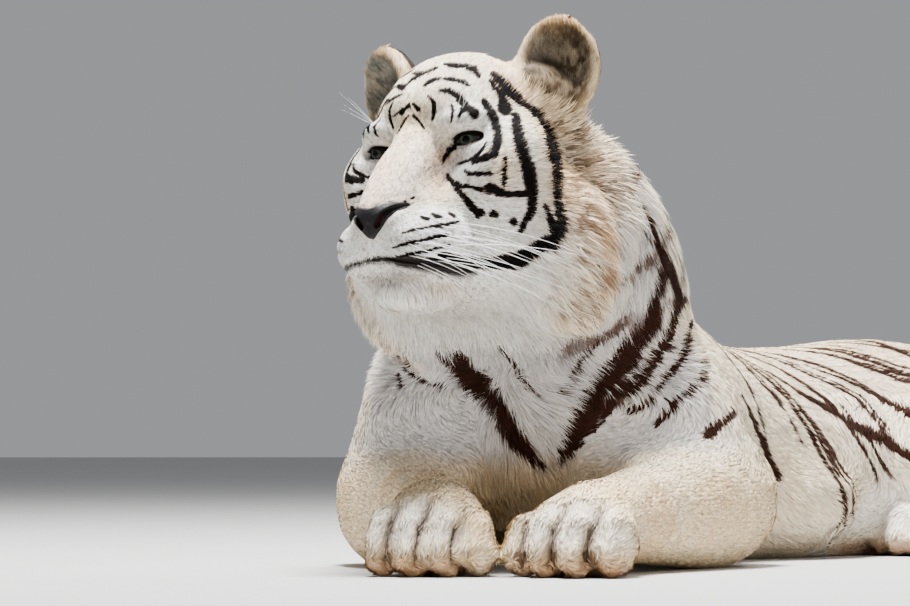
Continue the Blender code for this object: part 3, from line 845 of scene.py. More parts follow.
@dataclass(frozen=True)
class Ear:
    """One ear's own axes: outwards, backwards and up from its middle."""

    side: Side
    axes: Axes

    @classmethod
    def of(cls, side: Side, head: Axes) -> "Ear":
        """Finds an ear.

        Args:
            side: Which ear.
            head: The head's axes.

        Returns:
            The ear.
        """
        seat = head.world(np.array(EAR_SEAT) * (side, 1.0, 1.0))
        out, lean, nod = np.radians(EAR_TURNS) * (side, side, 1.0)
        turn = np.eye(3)
        for angle, first, second in ((out, 0, 1), (-lean, 0, 2), (nod, 1, 2)):
            step = np.eye(3)
            step[[first, second], [first, second]] = math.cos(angle)
            step[first, second], step[second, first] = -math.sin(angle), math.sin(angle)
            turn = turn @ step
        flipped = np.array((1.0, -1.0, 1.0))  # the head's rows are left, forward and up
        return cls(side, Axes(seat, (turn.T * flipped) @ head.rows))


@dataclass(frozen=True)
class Tint:
    """A soft patch of colour on the head, alike on both sides."""

    place: tuple[float, float, float]
    radii: tuple[float, float, float]
    dye: str
    share: float

    def cover(self, folded: Array) -> Array:
        """The patch's share at each point of the left side, a bell curve over its radii."""
        off = (folded - np.array(self.place)) / np.array(self.radii)
        return self.share * np.exp(-np.sum(off * off, axis=1))


TINTS = (
    Tint((0.000, 0.060, -0.040), (0.034, 0.070, 0.055), "rose", 0.85),
    Tint((0.000, 0.090, -0.072), (0.026, 0.030, 0.016), "tan", 0.45),
    Tint((0.035, 0.012, -0.020), (0.010, 0.024, 0.016), "tan", 0.85),
    Tint((0.034, 0.018, -0.044), (0.010, 0.026, 0.020), "tan", 0.80),
    Tint((0.042, 0.028, -0.066), (0.016, 0.040, 0.018), "cream", 0.75),
    Tint((0.108, -0.005, -0.040), (0.014, 0.040, 0.028), "cream", 0.75),
    Tint((0.100, -0.085, 0.064), (0.030, 0.034, 0.026), "buff", 0.70),
    Tint((0.000, 0.000, 0.020), (0.040, 0.060, 0.040), "cream", 0.70),
    Tint((0.000, -0.120, 0.100), (0.110, 0.080, 0.060), "cream", 0.60),
    Tint((0.110, -0.110, -0.020), (0.050, 0.050, 0.080), "cream", 0.70),
    Tint((0.136, -0.090, -0.050), (0.022, 0.040, 0.070), "buff", 0.70),
    Tint((0.058, 0.000, 0.028), (0.026, 0.050, 0.012), "cool", 0.80),
    Tint((0.062, 0.010, -0.032), (0.026, 0.050, 0.012), "cool", 0.90),
    Tint((0.020, 0.092, -0.159), (0.030, 0.034, 0.011), "brown", 0.60),
    Tint((0.044, 0.050, -0.172), (0.016, 0.040, 0.008), "tan", 0.45),
    # painted shade under the chin: the throat's white fur darkened towards brown
    Tint((0.040, 0.000, -0.205), (0.075, 0.055, 0.026), "brown", 0.40),
    Tint((0.134, -0.149, -0.024), (0.010, 0.030, 0.028), "orange", 0.80),
    Tint((0.146, -0.153, -0.061), (0.010, 0.030, 0.028), "orange", 0.85),
    Tint((0.166, -0.117, -0.124), (0.012, 0.022, 0.034), "orange", 0.85),
    Tint((0.156, -0.122, -0.175), (0.012, 0.022, 0.030), "orange", 0.70),
    Tint((0.150, -0.176, -0.066), (0.020, 0.024, 0.050), "cool", 0.80),
    Tint((0.152, -0.176, -0.140), (0.020, 0.024, 0.040), "cool", 0.80),
)


@dataclass(frozen=True)
class Brush:
    """A stroke of modelling on the head: the skin moves in or out by a bell curve about a line.

    The line is in millimetres left, forward and up, alike on both sides. Distances forward
    count less than the others, by the squash.
    """

    line: tuple[tuple[float, float, float], ...]
    radius: float
    push: float
    squash: float = 0.4

    def heights(self, folded: Array) -> Array:
        """How far the brush pushes each point outwards.

        Args:
            folded: Rows of left (never below 0), forward and up in the head's axes.

        Returns:
            Metres for each row.
        """
        flat = np.array((1.0, self.squash, 1.0))
        gap, _, _ = line_distances(folded * flat, np.array(self.line) * MM * flat)
        return self.push * MM * np.exp(-((gap / (self.radius * MM)) ** 2))


BRUSHES = (
    Brush(((34, 20, 2), (37, 30, -30), (40, 58, -76)), 11, -3.6),  # the crease beside the bridge
    Brush(((12, 40, -10), (16, 88, -62)), 12, 2.0),  # the bridge's broad top
    Brush(((38, 12, -5), (40, 10, -12)), 8, -4.0),  # the eye's inner corner
    Brush(((34, 20, 17), (56, 8, 25), (80, -14, 23)), 9, 4.2),  # brow
    Brush(((48, 10, -26), (74, 0, -27)), 11, -3.4),  # hollow under the eye
    Brush(((90, -14, -30), (112, -50, -16)), 20, 4.0),  # cheekbone
    Brush(((58, 55, -66), (72, 22, -100), (72, 0, -138)), 13, -5.0),  # behind the whisker pad
    Brush(((30, 94, -108), (48, 74, -112)), 18, 3.6),  # whisker pad
    Brush(((0, 112, -116), (0, 108, -131)), 4.5, -3.2),  # the groove under the nose
    Brush(((0, 80, -176), (12, 80, -178)), 18, 5.0),  # chin
    Brush(((0, 96, -158), (30, 84, -164)), 6, -2.4),  # under the lower lip
    Brush(((0, 24, 40), (0, -10, 84)), 8, -2.8),  # the forehead's furrow
    Brush(((22, 14, 48), (26, -8, 74)), 16, 2.4),  # the forehead's two swells
    Brush(((0, 36, 2), (10, 36, 2)), 16, -2.6),  # the stop between the eyes
    # before the ruff, the ruff, and behind it
    Brush(((120, -84, 30), (150, -82, -60), (146, -66, -135), (112, -60, -178)), 12, -3.5, 1.0),
    Brush(((146, -150, -30), (162, -146, -100), (154, -138, -165), (112, -130, -212)), 17, 6.0, 1.0),
    Brush(((146, -212, -30), (160, -210, -100), (152, -208, -160), (120, -205, -205)), 20, -10.0, 1.0),
)

@dataclass
class Body:
    """Everything that tells where a place on the animal is: axes, guides, ears and the flank's chart."""

    bearings: Bearings
    guides: dict[str, Guide] = field(init=False)
    flank: Flank = field(init=False)
    ears: tuple[Ear, Ear] = field(init=False)

    def __post_init__(self) -> None:
        """Lays the guides in the world."""
        home = self.bearings.home
        self.guides = {"neck": Guide.through(NECK, home, 0.5), "trunk": Guide.through(SPINE, home, 0.30)}
        for name, pair in (("foreleg", FORELEGS), ("hindleg", HINDLEGS)):
            for side, line in zip(Side, pair):
                self.guides[f"{name}_{side.name.lower()}"] = Guide.through(line, home)
        self.guides["tail"] = Guide.through(TAIL, home)
        self.flank = Flank(self.guides["trunk"])
        self.ears = tuple(Ear.of(side, self.bearings.head) for side in Side)

    @staticmethod
    def guide_name(node: str) -> str:
        """Which guide a solid's coat follows, or head where it has none.

        Args:
            node: The solid's name.

        Returns:
            A key of the guides, head or ear.
        """
        stem = node.split("_")[0]
        if stem in ("forepaw", "hindpaw"):
            return node.replace("paw", "leg")
        if stem in ("foreleg", "hindleg"):
            return node
        return stem if stem in ("neck", "trunk", "tail", "ear") else "head"


# ---------------------------------------------------------------- the coat's colour
@dataclass
class Pelt:
    """Colours of the whole coat, from the markings' charts.

    Each painter below takes rows of world points, the skin's normals there and the ground's
    colours, and gives rows of linear red, green and blue.
    """

    body: Body
    markings: Markings
    stripe_sets: dict[Side, list[Stroke]] = field(init=False)

    def __post_init__(self) -> None:
        """Draws the stripes of both flanks once."""
        step = self.markings.ring_step
        self.stripe_sets = {side: self.body.flank.stripes(side, step, 23) for side in Side}

    def colours(self, points: Array, normals: Array, kinds: Array) -> Array:
        """The coat's colour at each place.

        Args:
            points: Rows of world x, y and z.
            normals: The skin's normals there.
            kinds: The guide's name for each place.

        Returns:
            Rows of linear red, green and blue.
        """
        dyes = self.markings.dyes
        tone = 0.5 + 0.5 * noise(points, 0.09, 51)
        result = blend(np.tile(dyes.white, (len(points), 1)), dyes.cream, 0.45 * tone)
        legs = np.char.startswith(kinds, "hindleg") | np.char.startswith(kinds, "foreleg")
        for chosen, painter in (
            ((kinds == "head") | (kinds == "ear"), self.head_colours),
            (kinds == "neck", self.neck_colours),
            ((kinds == "trunk") | legs, self.trunk_colours),
            (kinds == "tail", self.tail_colours),
            (kinds == "ear", self.ear_colours),
        ):
            rows = np.flatnonzero(chosen)
            if len(rows):
                result[rows] = painter(points[rows], normals[rows], result[rows])
        return result

    def striped(self, ground: Array, shade: Array, dark: Array) -> Array:
        """The ground's colours with dark stripes laid on them through a rusty edge, by their shade."""
        edged = blend(ground, self.markings.dyes.rust, 0.85 * smooth(shade, 0.05, 0.55))
        return blend(edged, dark, smooth(shade, 0.30, 0.90))

    def head_colours(self, points: Array, normals: Array, ground: Array) -> Array:
        """Colours the head: white with soft tints, the face's strokes, and bars behind them.

        Args:
            points: Rows of x, y and z.
            normals: Their outward directions.
            ground: Their plain colours.

        Returns:
            Rows of linear red, green and blue.
        """
        dyes = self.markings.dyes
        local = self.body.bearings.head.local(points)
        facing = normals @ self.body.bearings.head.rows.T
        folded = one_side(local)
        result = blend(ground, dyes.cool, smooth(folded[:, 2], 0.06, -0.02) * 0.65)
        for tint in TINTS:
            result = blend(result, getattr(dyes, tint.dye), tint.cover(folded))
        streak = smooth(noise(points, 0.010, 61) + 0.9 * noise(points, 0.004, 62), -0.15, 0.70)
        behind = smooth(local[:, 1], -0.045, -0.085) * smooth(folded[:, 0], 0.095, 0.120)
        result = blend(result, dyes.cream, 0.55 * behind)
        result = blend(result, dyes.brown, 0.85 * streak * behind)
        shade, shown = self.markings.face_shade(local, facing, points)
        nape = self.markings.nape_shade(local, points) * (1.0 - shown) * smooth(local[:, 1], -0.06, -0.10)
        return self.striped(result, np.maximum(shade, 0.9 * nape), dyes.face_dark)

    def ear_colours(self, points: Array, normals: Array, ground: Array) -> Array:
        """Colours the ears: dark inside, with the two insides painted as one in shade and one in light and
        painted shade low in each hollow; buff at the rim, black behind with a white spot.

        Args:
            points: Rows of x, y and z.
            normals: Their outward directions.
            ground: Their plain colours.

        Returns:
            Rows of linear red, green and blue.
        """
        dyes = self.markings.dyes
        result = ground
        strand = noise(points, 0.0040, 72)
        for ear in self.body.ears:
            local = ear.axes.local(points)
            front = normals @ ear.axes.rows[1]
            mine = smooth(np.linalg.norm(local, axis=1), 0.095, 0.080)
            bowl = np.hypot(local[:, 0] / 0.038, (local[:, 2] - 0.004) / 0.049)
            inner = smooth(front, 0.1, -0.2) * smooth(bowl, 1.20, 0.96) * smooth(local[:, 2], -0.066, -0.046)
            patchy = 0.80 + 0.20 * noise(points, 0.012, 71)
            result = blend(result, dyes.cream, 0.45 * mine * smooth(bowl, 0.8, 1.1))
            result = blend(result, dyes.buff, 0.75 * mine * smooth(local[:, 2], 0.030, 0.052))
            # painted shade: the inside darkens towards the low hollow of the ear's bowl
            low = smooth(local[:, 2], 0.030, -0.015)
            # the inside's ground: the same fur painted in shade in the left ear and in light in the right
            pale = dyes.ear_left if ear.side > 0 else dyes.ear_right
            inside = blend(np.tile(pale, (len(points), 1)), dyes.ear_dark, 0.55 * low)
            inside = inside * (1.0 + 0.55 * strand)[:, None]
            result = blend(result, inside, 0.96 * mine * inner * patchy)
            back = smooth(front, 0.05, 0.35) * mine * smooth(local[:, 2], -0.035, -0.015)
            result = blend(result, dyes.ear_black, 0.95 * back)
            spot = np.hypot(local[:, 0] / 0.022, (local[:, 2] - 0.012) / 0.020)
            result = blend(result, dyes.cool, 0.95 * back * smooth(spot, 1.1, 0.8))
        return result

    def neck_colours(self, points: Array, normals: Array, ground: Array) -> Array:
        """Colours the neck: bars on its back and sides, and the chest's strokes in front.

        Args:
            points: Rows of x, y and z.
            normals: Their outward directions.
            ground: Their plain colours.

        Returns:
            Rows of linear red, green and blue.
        """
        dyes = self.markings.dyes
        along = self.body.guides["neck"].place(points)[0]
        rings = Bars(0.052, (0.07, 0.014, 81), (0.007, 0.04, 83))
        bars = rings.cover(points, along, 0.12 + 0.05 * noise(points, 0.05, 82))
        rear = np.maximum(smooth(normals[:, 1], -0.25, 0.25), 0.8 * smooth(normals[:, 0], 0.30, 0.60))
        shade = np.maximum(bars * rear * 0.72, self.markings.chest_shade(points, normals))
        # the neck's front greyed: partly its own grey-white fur, partly painted shade
        ground = blend(ground, dyes.grey, 0.65 * smooth(-normals[:, 1], 0.2, 0.7))
        return self.striped(ground, shade, dyes.body_dark)

    def trunk_colours(self, points: Array, normals: Array, ground: Array) -> Array:
        """Colours trunk and legs: cream back, flank stripes, chest strokes, and plain buff paws.

        Args:
            points: Rows of x, y and z.
            normals: Their outward directions.
            ground: Their plain colours.

        Returns:
            Rows of linear red, green and blue.
        """
        dyes = self.markings.dyes
        chart, side = self.body.flank.chart(points)
        result = blend(ground, dyes.cream, 0.25 + 0.30 * smooth(chart[:, 1], 0.24, 0.04))
        front = points - self.body.bearings.home
        # the breast greyed: partly its own grey-white fur, partly painted shade under the head
        breast = smooth(-normals[:, 1], 0.3, 0.8) * smooth(front[:, 1], 0.06, 0.0)
        breast = breast * smooth(points[:, 2], 0.10, 0.14)
        result = blend(result, dyes.grey, 0.75 * breast)
        leg = smooth(points[:, 2], 0.15, 0.09) * smooth(front[:, 1], 0.16, 0.06)
        mottled = 0.75 + 0.25 * noise(points, 0.018, 93)
        result = blend(result, dyes.cream, 0.85 * leg * mottled)
        result = blend(result, dyes.buff, 0.35 * leg * smooth(noise(points, 0.045, 94), 0.0, 0.6))
        for name, guide in self.body.guides.items():
            if "leg" in name:
                gap = np.linalg.norm(points - guide.path[-1], axis=1)
                toes = smooth(gap, 0.090, 0.055)
                result = blend(result, dyes.cool, 0.50 * toes * smooth(points[:, 2], 0.020, 0.045))
                result = blend(result, dyes.tan, 0.65 * toes * smooth(points[:, 2], 0.030, 0.008))
        shade = self.markings.chest_shade(points, normals)
        fray = noise(points, 0.010, 91) * 1.3 * MM
        warp = drift(points, 0.055, 92)[:, :2] * 6.0 * MM
        for sign, chosen in self.stripe_sets.items():
            rows = np.flatnonzero(side == sign)
            part = darkest(chosen, chart[rows] + warp[rows], fray[rows])
            shade[rows] = np.maximum(shade[rows], part * (1.0 - smooth(front[rows, 1], 0.14, 0.06)))
        plain = smooth(points[:, 2], 0.105, 0.085) * smooth(front[:, 1], 0.20, 0.12)
        for name, guide in self.body.guides.items():
            if name.startswith("hindleg"):
                foot = guide.path[-(len(guide.path) // 3) :]
                plain = np.maximum(plain, smooth(line_distances(points, foot)[0], 0.085, 0.055))
        return self.striped(result, shade * (1.0 - plain), dyes.body_dark)

    def tail_colours(self, points: Array, normals: Array, ground: Array) -> Array:
        """Colours the tail: rings 62 mm apart that widen towards a dark tip.

        Args:
            points: Rows of x, y and z.
            normals: Their outward directions.
            ground: Their plain colours.

        Returns:
            Rows of linear red, green and blue.
        """
        dyes = self.markings.dyes
        along, _, _ = self.body.guides["tail"].place(points)
        rings = Bars(0.062, (0.05, 0.010, 101), (0.007, 0.05, 102), 0.04)
        rings = rings.cover(points, along, 0.13 + 0.10 * smooth(along, 0.2, 0.9))
        tip = smooth(along, 0.86, 0.90)
        return self.striped(ground, np.maximum(rings, tip), dyes.body_dark)


# ---------------------------------------------------------------- the skin
@dataclass
class Surface:
    """A skin of triangles with what the coat needs to know at each point."""

    points: Array
    triangles: Array
    normals: Array = field(init=False)
    kinds: Array = field(init=False)
    bare: Array = field(init=False)

    def __post_init__(self) -> None:
        """Works out the normals."""
        self.normals = point_normals(self.points, self.triangles)
        self.bare = np.zeros(len(self.points))

    def edges(self) -> Array:
        """Each side of each triangle, once for each triangle that has it."""
        return np.concatenate([self.triangles[:, pair] for pair in ((0, 1), (1, 2), (2, 0))])

    def tree(self) -> BVHTree:
        """A search tree over the triangles."""
        return BVHTree.FromPolygons(self.points.tolist(), self.triangles.tolist())


def node_arrays(name: str) -> tuple[Array, Array]:
    """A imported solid's points, with doubles merged, and its triangles.

    Args:
        name: The solid's name.

    Returns:
        Rows of x, y and z, and rows of three corner numbers.
    """
    points, triangles, _ = mesh_arrays(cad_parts[name].data)
    cells = np.round(points / 1e-6).astype(np.int64)
    _, first, merged = np.unique(cells, axis=0, return_index=True, return_inverse=True)
    triangles = merged.reshape(-1)[triangles]
    whole = np.all(triangles != np.roll(triangles, 1, axis=1), axis=1)
    return points[first], triangles[whole]


def joined(parts: Iterable[tuple[Array, Array]]) -> tuple[Array, Array]:
    """Several meshes as one.

    Args:
        parts: Points and faces of each.

    Returns:
        All points and all faces.
    """
    points, faces, start = [], [], 0
    for some, rows in parts:
        points.append(some)
        faces.append(rows + start)
        start += len(some)
    return np.concatenate(points), np.concatenate(faces)


def remodelled(
    points: Array, faces: Array, kind: str, settings: dict[str, Any], zone: Array | None = None
) -> tuple[Array, Array, Array]:
    """A mesh as one modifier leaves it.

    Args:
        points: Rows of x, y and z.
        faces: Rows of corner numbers.
        kind: The modifier's type.
        settings: Its properties.
        zone: Whether it may change each point, if not all.

    Returns:
        The new points, triangles and edges.
    """
    rough = mesh_object("rough", points, faces)
    modifier = rough.modifiers.new("shape", kind)
    if zone is not None:
        rough.vertex_groups.new(name="zone").add(np.flatnonzero(zone).tolist(), 1.0, "REPLACE")
        modifier.vertex_group = "zone"
    for key, value in settings.items():
        setattr(modifier, key, value)
    graph = bpy.context.evaluated_depsgraph_get()
    mesh = bpy.data.meshes.new_from_object(rough.evaluated_get(graph))
    result = mesh_arrays(mesh)
    spent = rough.data
    bpy.data.objects.remove(rough)
    bpy.data.meshes.remove(spent)
    bpy.data.meshes.remove(mesh)
    return result


def nearest_rows(places: Array, points: Array) -> Array:
    """The number of the place nearest to each point.

    Args:
        places: Rows of x, y and z.
        points: Rows of x, y and z.

    Returns:
        One row number for each point.
    """
    tree = KDTree(len(places))
    for number, place in enumerate(places):
        tree.insert(place, number)
    tree.balance()
    return np.array([tree.find(point)[1] for point in points])


LAYS = {  # the coat's depth and its tufts' length over each region, in millimetres
    "head": (3.6, 11.0),
    "ear": (2.0, 12.0),
    "neck": (8.0, 36.0),
    "trunk": (3.4, 22.0),
    "foreleg": (1.6, 16.0),
    "hindleg": (1.8, 17.0),
    "tail": (4.5, 22.0),
}
HEAD_MIDDLE = np.array((0.0, -0.060, -0.030))  # left, forward and up from between the eyes
HEAD_FINE = 0.255  # the fine skin reaches this far from the head's middle
HEAD_REACH = (0.02, 0.06, 0.12, 0.17, 0.22, 0.27, 0.31)  # distances from the nose's tip
HEAD_DEPTHS = (0.7, 1.2, 1.9, 3.0, 6.5, 10.0, 12.0)  # the coat's depth there, in millimetres
HEAD_LENGTHS = (4.5, 6.0, 8.5, 12.0, 25.0, 47.0, 58.0)  # the tufts' length there
NOSE_TIP = np.array((0.0, 0.108, -0.088))  # left, forward and up from between the eyes


@dataclass
class EyeSeat:
    """One eye's own axes, its almond opening, and how far places are from the opening's rim."""

    side: Side
    head: Axes
    centre: Array
    radius: float = EYE_RADIUS
    outward: float = math.radians(13.0)
    slant: float = math.radians(5.0)
    half_length: float = 0.0150
    upper: float = 0.0040
    lower: float = 0.0042

    def axes(self) -> Axes:
        """The eye's axes: away from the nose, towards what it looks at, and up.

        Returns:
            The axes, with their origin in the eyeball's centre.
        """
        turn = self.outward * self.side
        look = np.array((math.sin(turn), math.cos(turn), -0.04))
        look = unit(look)
        out = np.array((math.cos(turn) * self.side, -math.sin(turn) * self.side, 0.0))
        rise = np.array((0.0, 0.04, 1.0))
        rise = unit(rise - look * (rise @ look) - out * (rise @ out))
        slanted = out * math.cos(self.slant) + rise * math.sin(self.slant)
        upright = rise * math.cos(self.slant) - out * math.sin(self.slant)
        return Axes(self.centre, np.array((slanted, look, upright)) @ self.head.rows)

    def rim(self, count: int = 96) -> Array:
        """The almond: a cosine along it, and a sine to the power 1.35 across it.

        Args:
            count: Number of points.

        Returns:
            Rows of outwards and up, in metres, anticlockwise from the outer corner.
        """
        turn = circle(count)
        high = np.abs(np.sin(turn)) ** 1.35
        across = self.half_length * np.cos(turn) - 0.0016 * np.abs(np.cos(turn)) * (np.cos(turn) < 0)
        return np.stack([across, np.where(np.sin(turn) > 0, self.upper, -self.lower) * high], axis=1)

    def beyond(self, plane: Array) -> Array:
        """How far outside the almond points of its plane lie.

        Args:
            plane: Rows of outwards and up.

        Returns:
            Metres, below 0 inside the opening.
        """
        rim = self.rim()
        gap, _, _ = line_distances(plane, np.vstack([rim, rim[:1]]))
        share = np.clip(1.0 - (plane[:, 0] / self.half_length) ** 2, 0.0, 1.0)
        high = np.where(plane[:, 1] > 0, self.upper, self.lower) * share**0.675
        return np.where(np.abs(plane[:, 1]) < high, -gap, gap)

    def ball(self, plane: Array, swell: float) -> Array:
        """Height over the eye's plane of a ball whose radius is larger than the eye's by a swell."""
        left_over = (self.radius + swell) ** 2 - np.sum(plane * plane, axis=1)
        return np.sqrt(np.maximum(left_over, (0.35 * self.radius) ** 2))


def ray_heights(tree: BVHTree, axes: Axes, plane: Array, start: float) -> Array:
    """Height of the skin over a plane, found by a ray that comes down on it.

    Args:
        tree: The skin's search tree.
        axes: Axes whose second row is the plane's normal.
        plane: Rows of the first and third coordinates.
        start: Height from which the rays come.

    Returns:
        The height for each row.
    """
    down = Vector(-axes.rows[1])
    local = np.stack([plane[:, 0], np.full(len(plane), start), plane[:, 1]], axis=1)
    heights = np.zeros(len(plane))
    for k, origin in enumerate(axes.world(local)):
        hit = tree.ray_cast(Vector(origin), down, 2.0 * start)
        heights[k] = start - hit[3] if hit[0] is not None else 0.0
    return heights


@dataclass
class Lids:
    """Upper and lower lid of one eye, as rings that run out from the almond onto the skin."""

    seat: EyeSeat
    ring_offsets: tuple[float, ...] = (0.0, 0.15, 0.9, 1.8, 2.8, 4.0, 5.2, 6.5, 8.0, 10.0, 12.0)
    ring_swells: tuple[float, ...] = (-0.9, 0.9, 1.7, 1.9, 1.8, 1.7, 1.6, 1.4, 1.2, 1.0, 1.0)

    def rings(self, tree: BVHTree) -> tuple[Array, Array]:
        """The lids' surface.

        Each ring is the almond moved outwards in its plane. Its height is that of a ball a
        little larger than the eye near the rim, and the skin's own height further out, with
        a shallow crease above the eye and a shallower one below it.

        Args:
            tree: The skin's search tree.

        Returns:
            The points and their quads.
        """
        rim = self.seat.rim()
        tangent = np.roll(rim, -1, axis=0) - np.roll(rim, 1, axis=0)
        outward = unit(np.stack([tangent[:, 1], -tangent[:, 0]], axis=1))
        for _ in range(3):
            outward = unit(outward + 0.5 * (np.roll(outward, 1, axis=0) + np.roll(outward, -1, axis=0)))
        axes = self.seat.axes()
        above = np.clip(outward[:, 1], 0.0, 1.0)
        below = np.clip(-outward[:, 1], 0.0, 1.0)
        layers = []
        for offset, swell in zip(self.ring_offsets, self.ring_swells):
            plane = rim + outward * offset * MM
            skin = evened_ring(ray_heights(tree, axes, plane, 0.08), 4)
            share = smooth(np.full(len(plane), offset), 2.2, 9.0)
            last = 1.2 if offset > 11.0 else 0.0
            crease = math.exp(-(((offset - 4.6) / 1.3) ** 2)) * (1.1 * above + 0.6 * below)
            height = self.seat.ball(plane, swell * MM) * (1.0 - share) + (skin + 0.5 * MM) * share
            layers.append(np.stack([plane[:, 0], height - (crease + last) * MM, plane[:, 1]], axis=1))
        local = np.stack(layers)
        quads = grid_faces(len(layers), local.shape[1], ring=True)
        if self.seat.side > 0:
            quads = quads[:, ::-1]
        return axes.world(local.reshape(-1, 3)), quads


def split_quads(quads: Array) -> Array:
    """Two triangles for each quad."""
    return np.concatenate([quads[:, (0, 1, 2)], quads[:, (0, 2, 3)]])


@dataclass(frozen=True)
class Mouth:
    """The parted lips: their two edges in millimetres left, forward and up, alike on both sides."""

    upper: tuple[tuple[float, float, float], ...] = (
        (0, 108, -132), (14, 110, -133.5), (32, 111, -135), (46, 105, -137), (56, 92, -140.5), (61, 64, -145),
        (60, 30, -148), (58, 0, -151),
    )
    lower: tuple[tuple[float, float, float], ...] = (
        (0, 105, -135.5), (12, 105, -139), (28, 104, -143), (40, 96, -146), (49, 77, -150), (54, 48, -152),
        (57, 20, -152.5), (58, 0, -151.8),
    )

    def edge(self, points: Sequence[Sequence[float]], head: Axes, tree: BVHTree) -> Array:
        """One lip's edge, laid on the skin, from the left corner over the middle to the right one.

        Args:
            points: The edge's points in millimetres.
            head: The head's axes.
            tree: The skin's search tree.

        Returns:
            Rows of left, forward and up in the head's axes.
        """
        half = curve_through(np.array(points, float) * MM)
        half = head.local(np.array([tree.find_nearest(Vector(place))[0] for place in head.world(half)]))
        half[0, 0] = 0.0
        whole = np.vstack([half[::-1], half[1:] * (-1, 1, 1)])
        for _ in range(3):
            whole[1:-1] = 0.5 * whole[1:-1] + 0.25 * (whole[:-2] + whole[2:])
        return whole

    def edges(self, head: Axes, tree: BVHTree) -> tuple[Array, Array]:
        """Both lips' edges, point by point across from each other, nearly shut on the right.

        Args:
            head: The head's axes.
            tree: The skin's search tree.

        Returns:
            Rows of left, forward and up for the upper and the lower edge.
        """
        upper, lower = self.edge(self.upper, head, tree), self.edge(self.lower, head, tree)
        shut = 0.85 * smooth(upper[:, 0], -0.002, -0.016)[:, None]
        return upper, lower + (upper - lower) * shut


@dataclass(frozen=True)
class NoseOutline:
    """The bare nose seen from in front: its edge and nostrils in millimetres left and up."""

    middle: tuple[float, float] = (0.0, -92.0)
    edge: tuple[tuple[float, float], ...] = (
        (0, -77.5), (12, -75), (24, -72.5), (31.5, -74.5), (31.5, -82), (25, -90), (15, -101), (6, -111),
        (0, -114.5),
    )
    nostril: tuple[tuple[float, float], ...] = ((10, -98), (14, -92), (20.5, -86), (27, -80.5), (30.5, -76.5))
    nostril_widths: tuple[float, ...] = (4.2, 5.4, 4.6, 3.0, 1.6)

    def reach(self, turn: Array) -> Array:
        """The edge's distance from the middle, at each turn up from the left, alike on both sides.

        Args:
            turn: Angles in radians.

        Returns:
            Metres.
        """
        curve = curve_through(np.array(self.edge)) - np.array(self.middle)
        angles = np.arctan2(curve[:, 1], curve[:, 0])
        folded = np.arcsin(np.clip(np.sin(turn), -1.0, 1.0))
        return np.interp(folded, angles[::-1], np.hypot(curve[:, 0], curve[:, 1])[::-1]) * MM

    def share(self, plane: Array) -> Array:
        """How far out rows of left and up lie, from 0 in the middle to 1 on the edge."""
        off = plane - np.array(self.middle) * MM
        return np.hypot(off[:, 0], off[:, 1]) / self.reach(np.arctan2(off[:, 1], np.abs(off[:, 0])))

    def opening(self, plane: Array) -> Array:
        """How deep in a nostril places lie: 0 outside, and 1 along its bent middle line.

        Args:
            plane: Rows of left and up in metres.

        Returns:
            From 0 to 1 for each row.
        """
        folded = np.stack([np.abs(plane[:, 0]), plane[:, 1]], axis=1)
        gap, number, along = line_distances(folded, np.array(self.nostril) * MM)
        width = between(np.array(self.nostril_widths) * MM, number, along)
        return smooth(gap, width, width * 0.35)


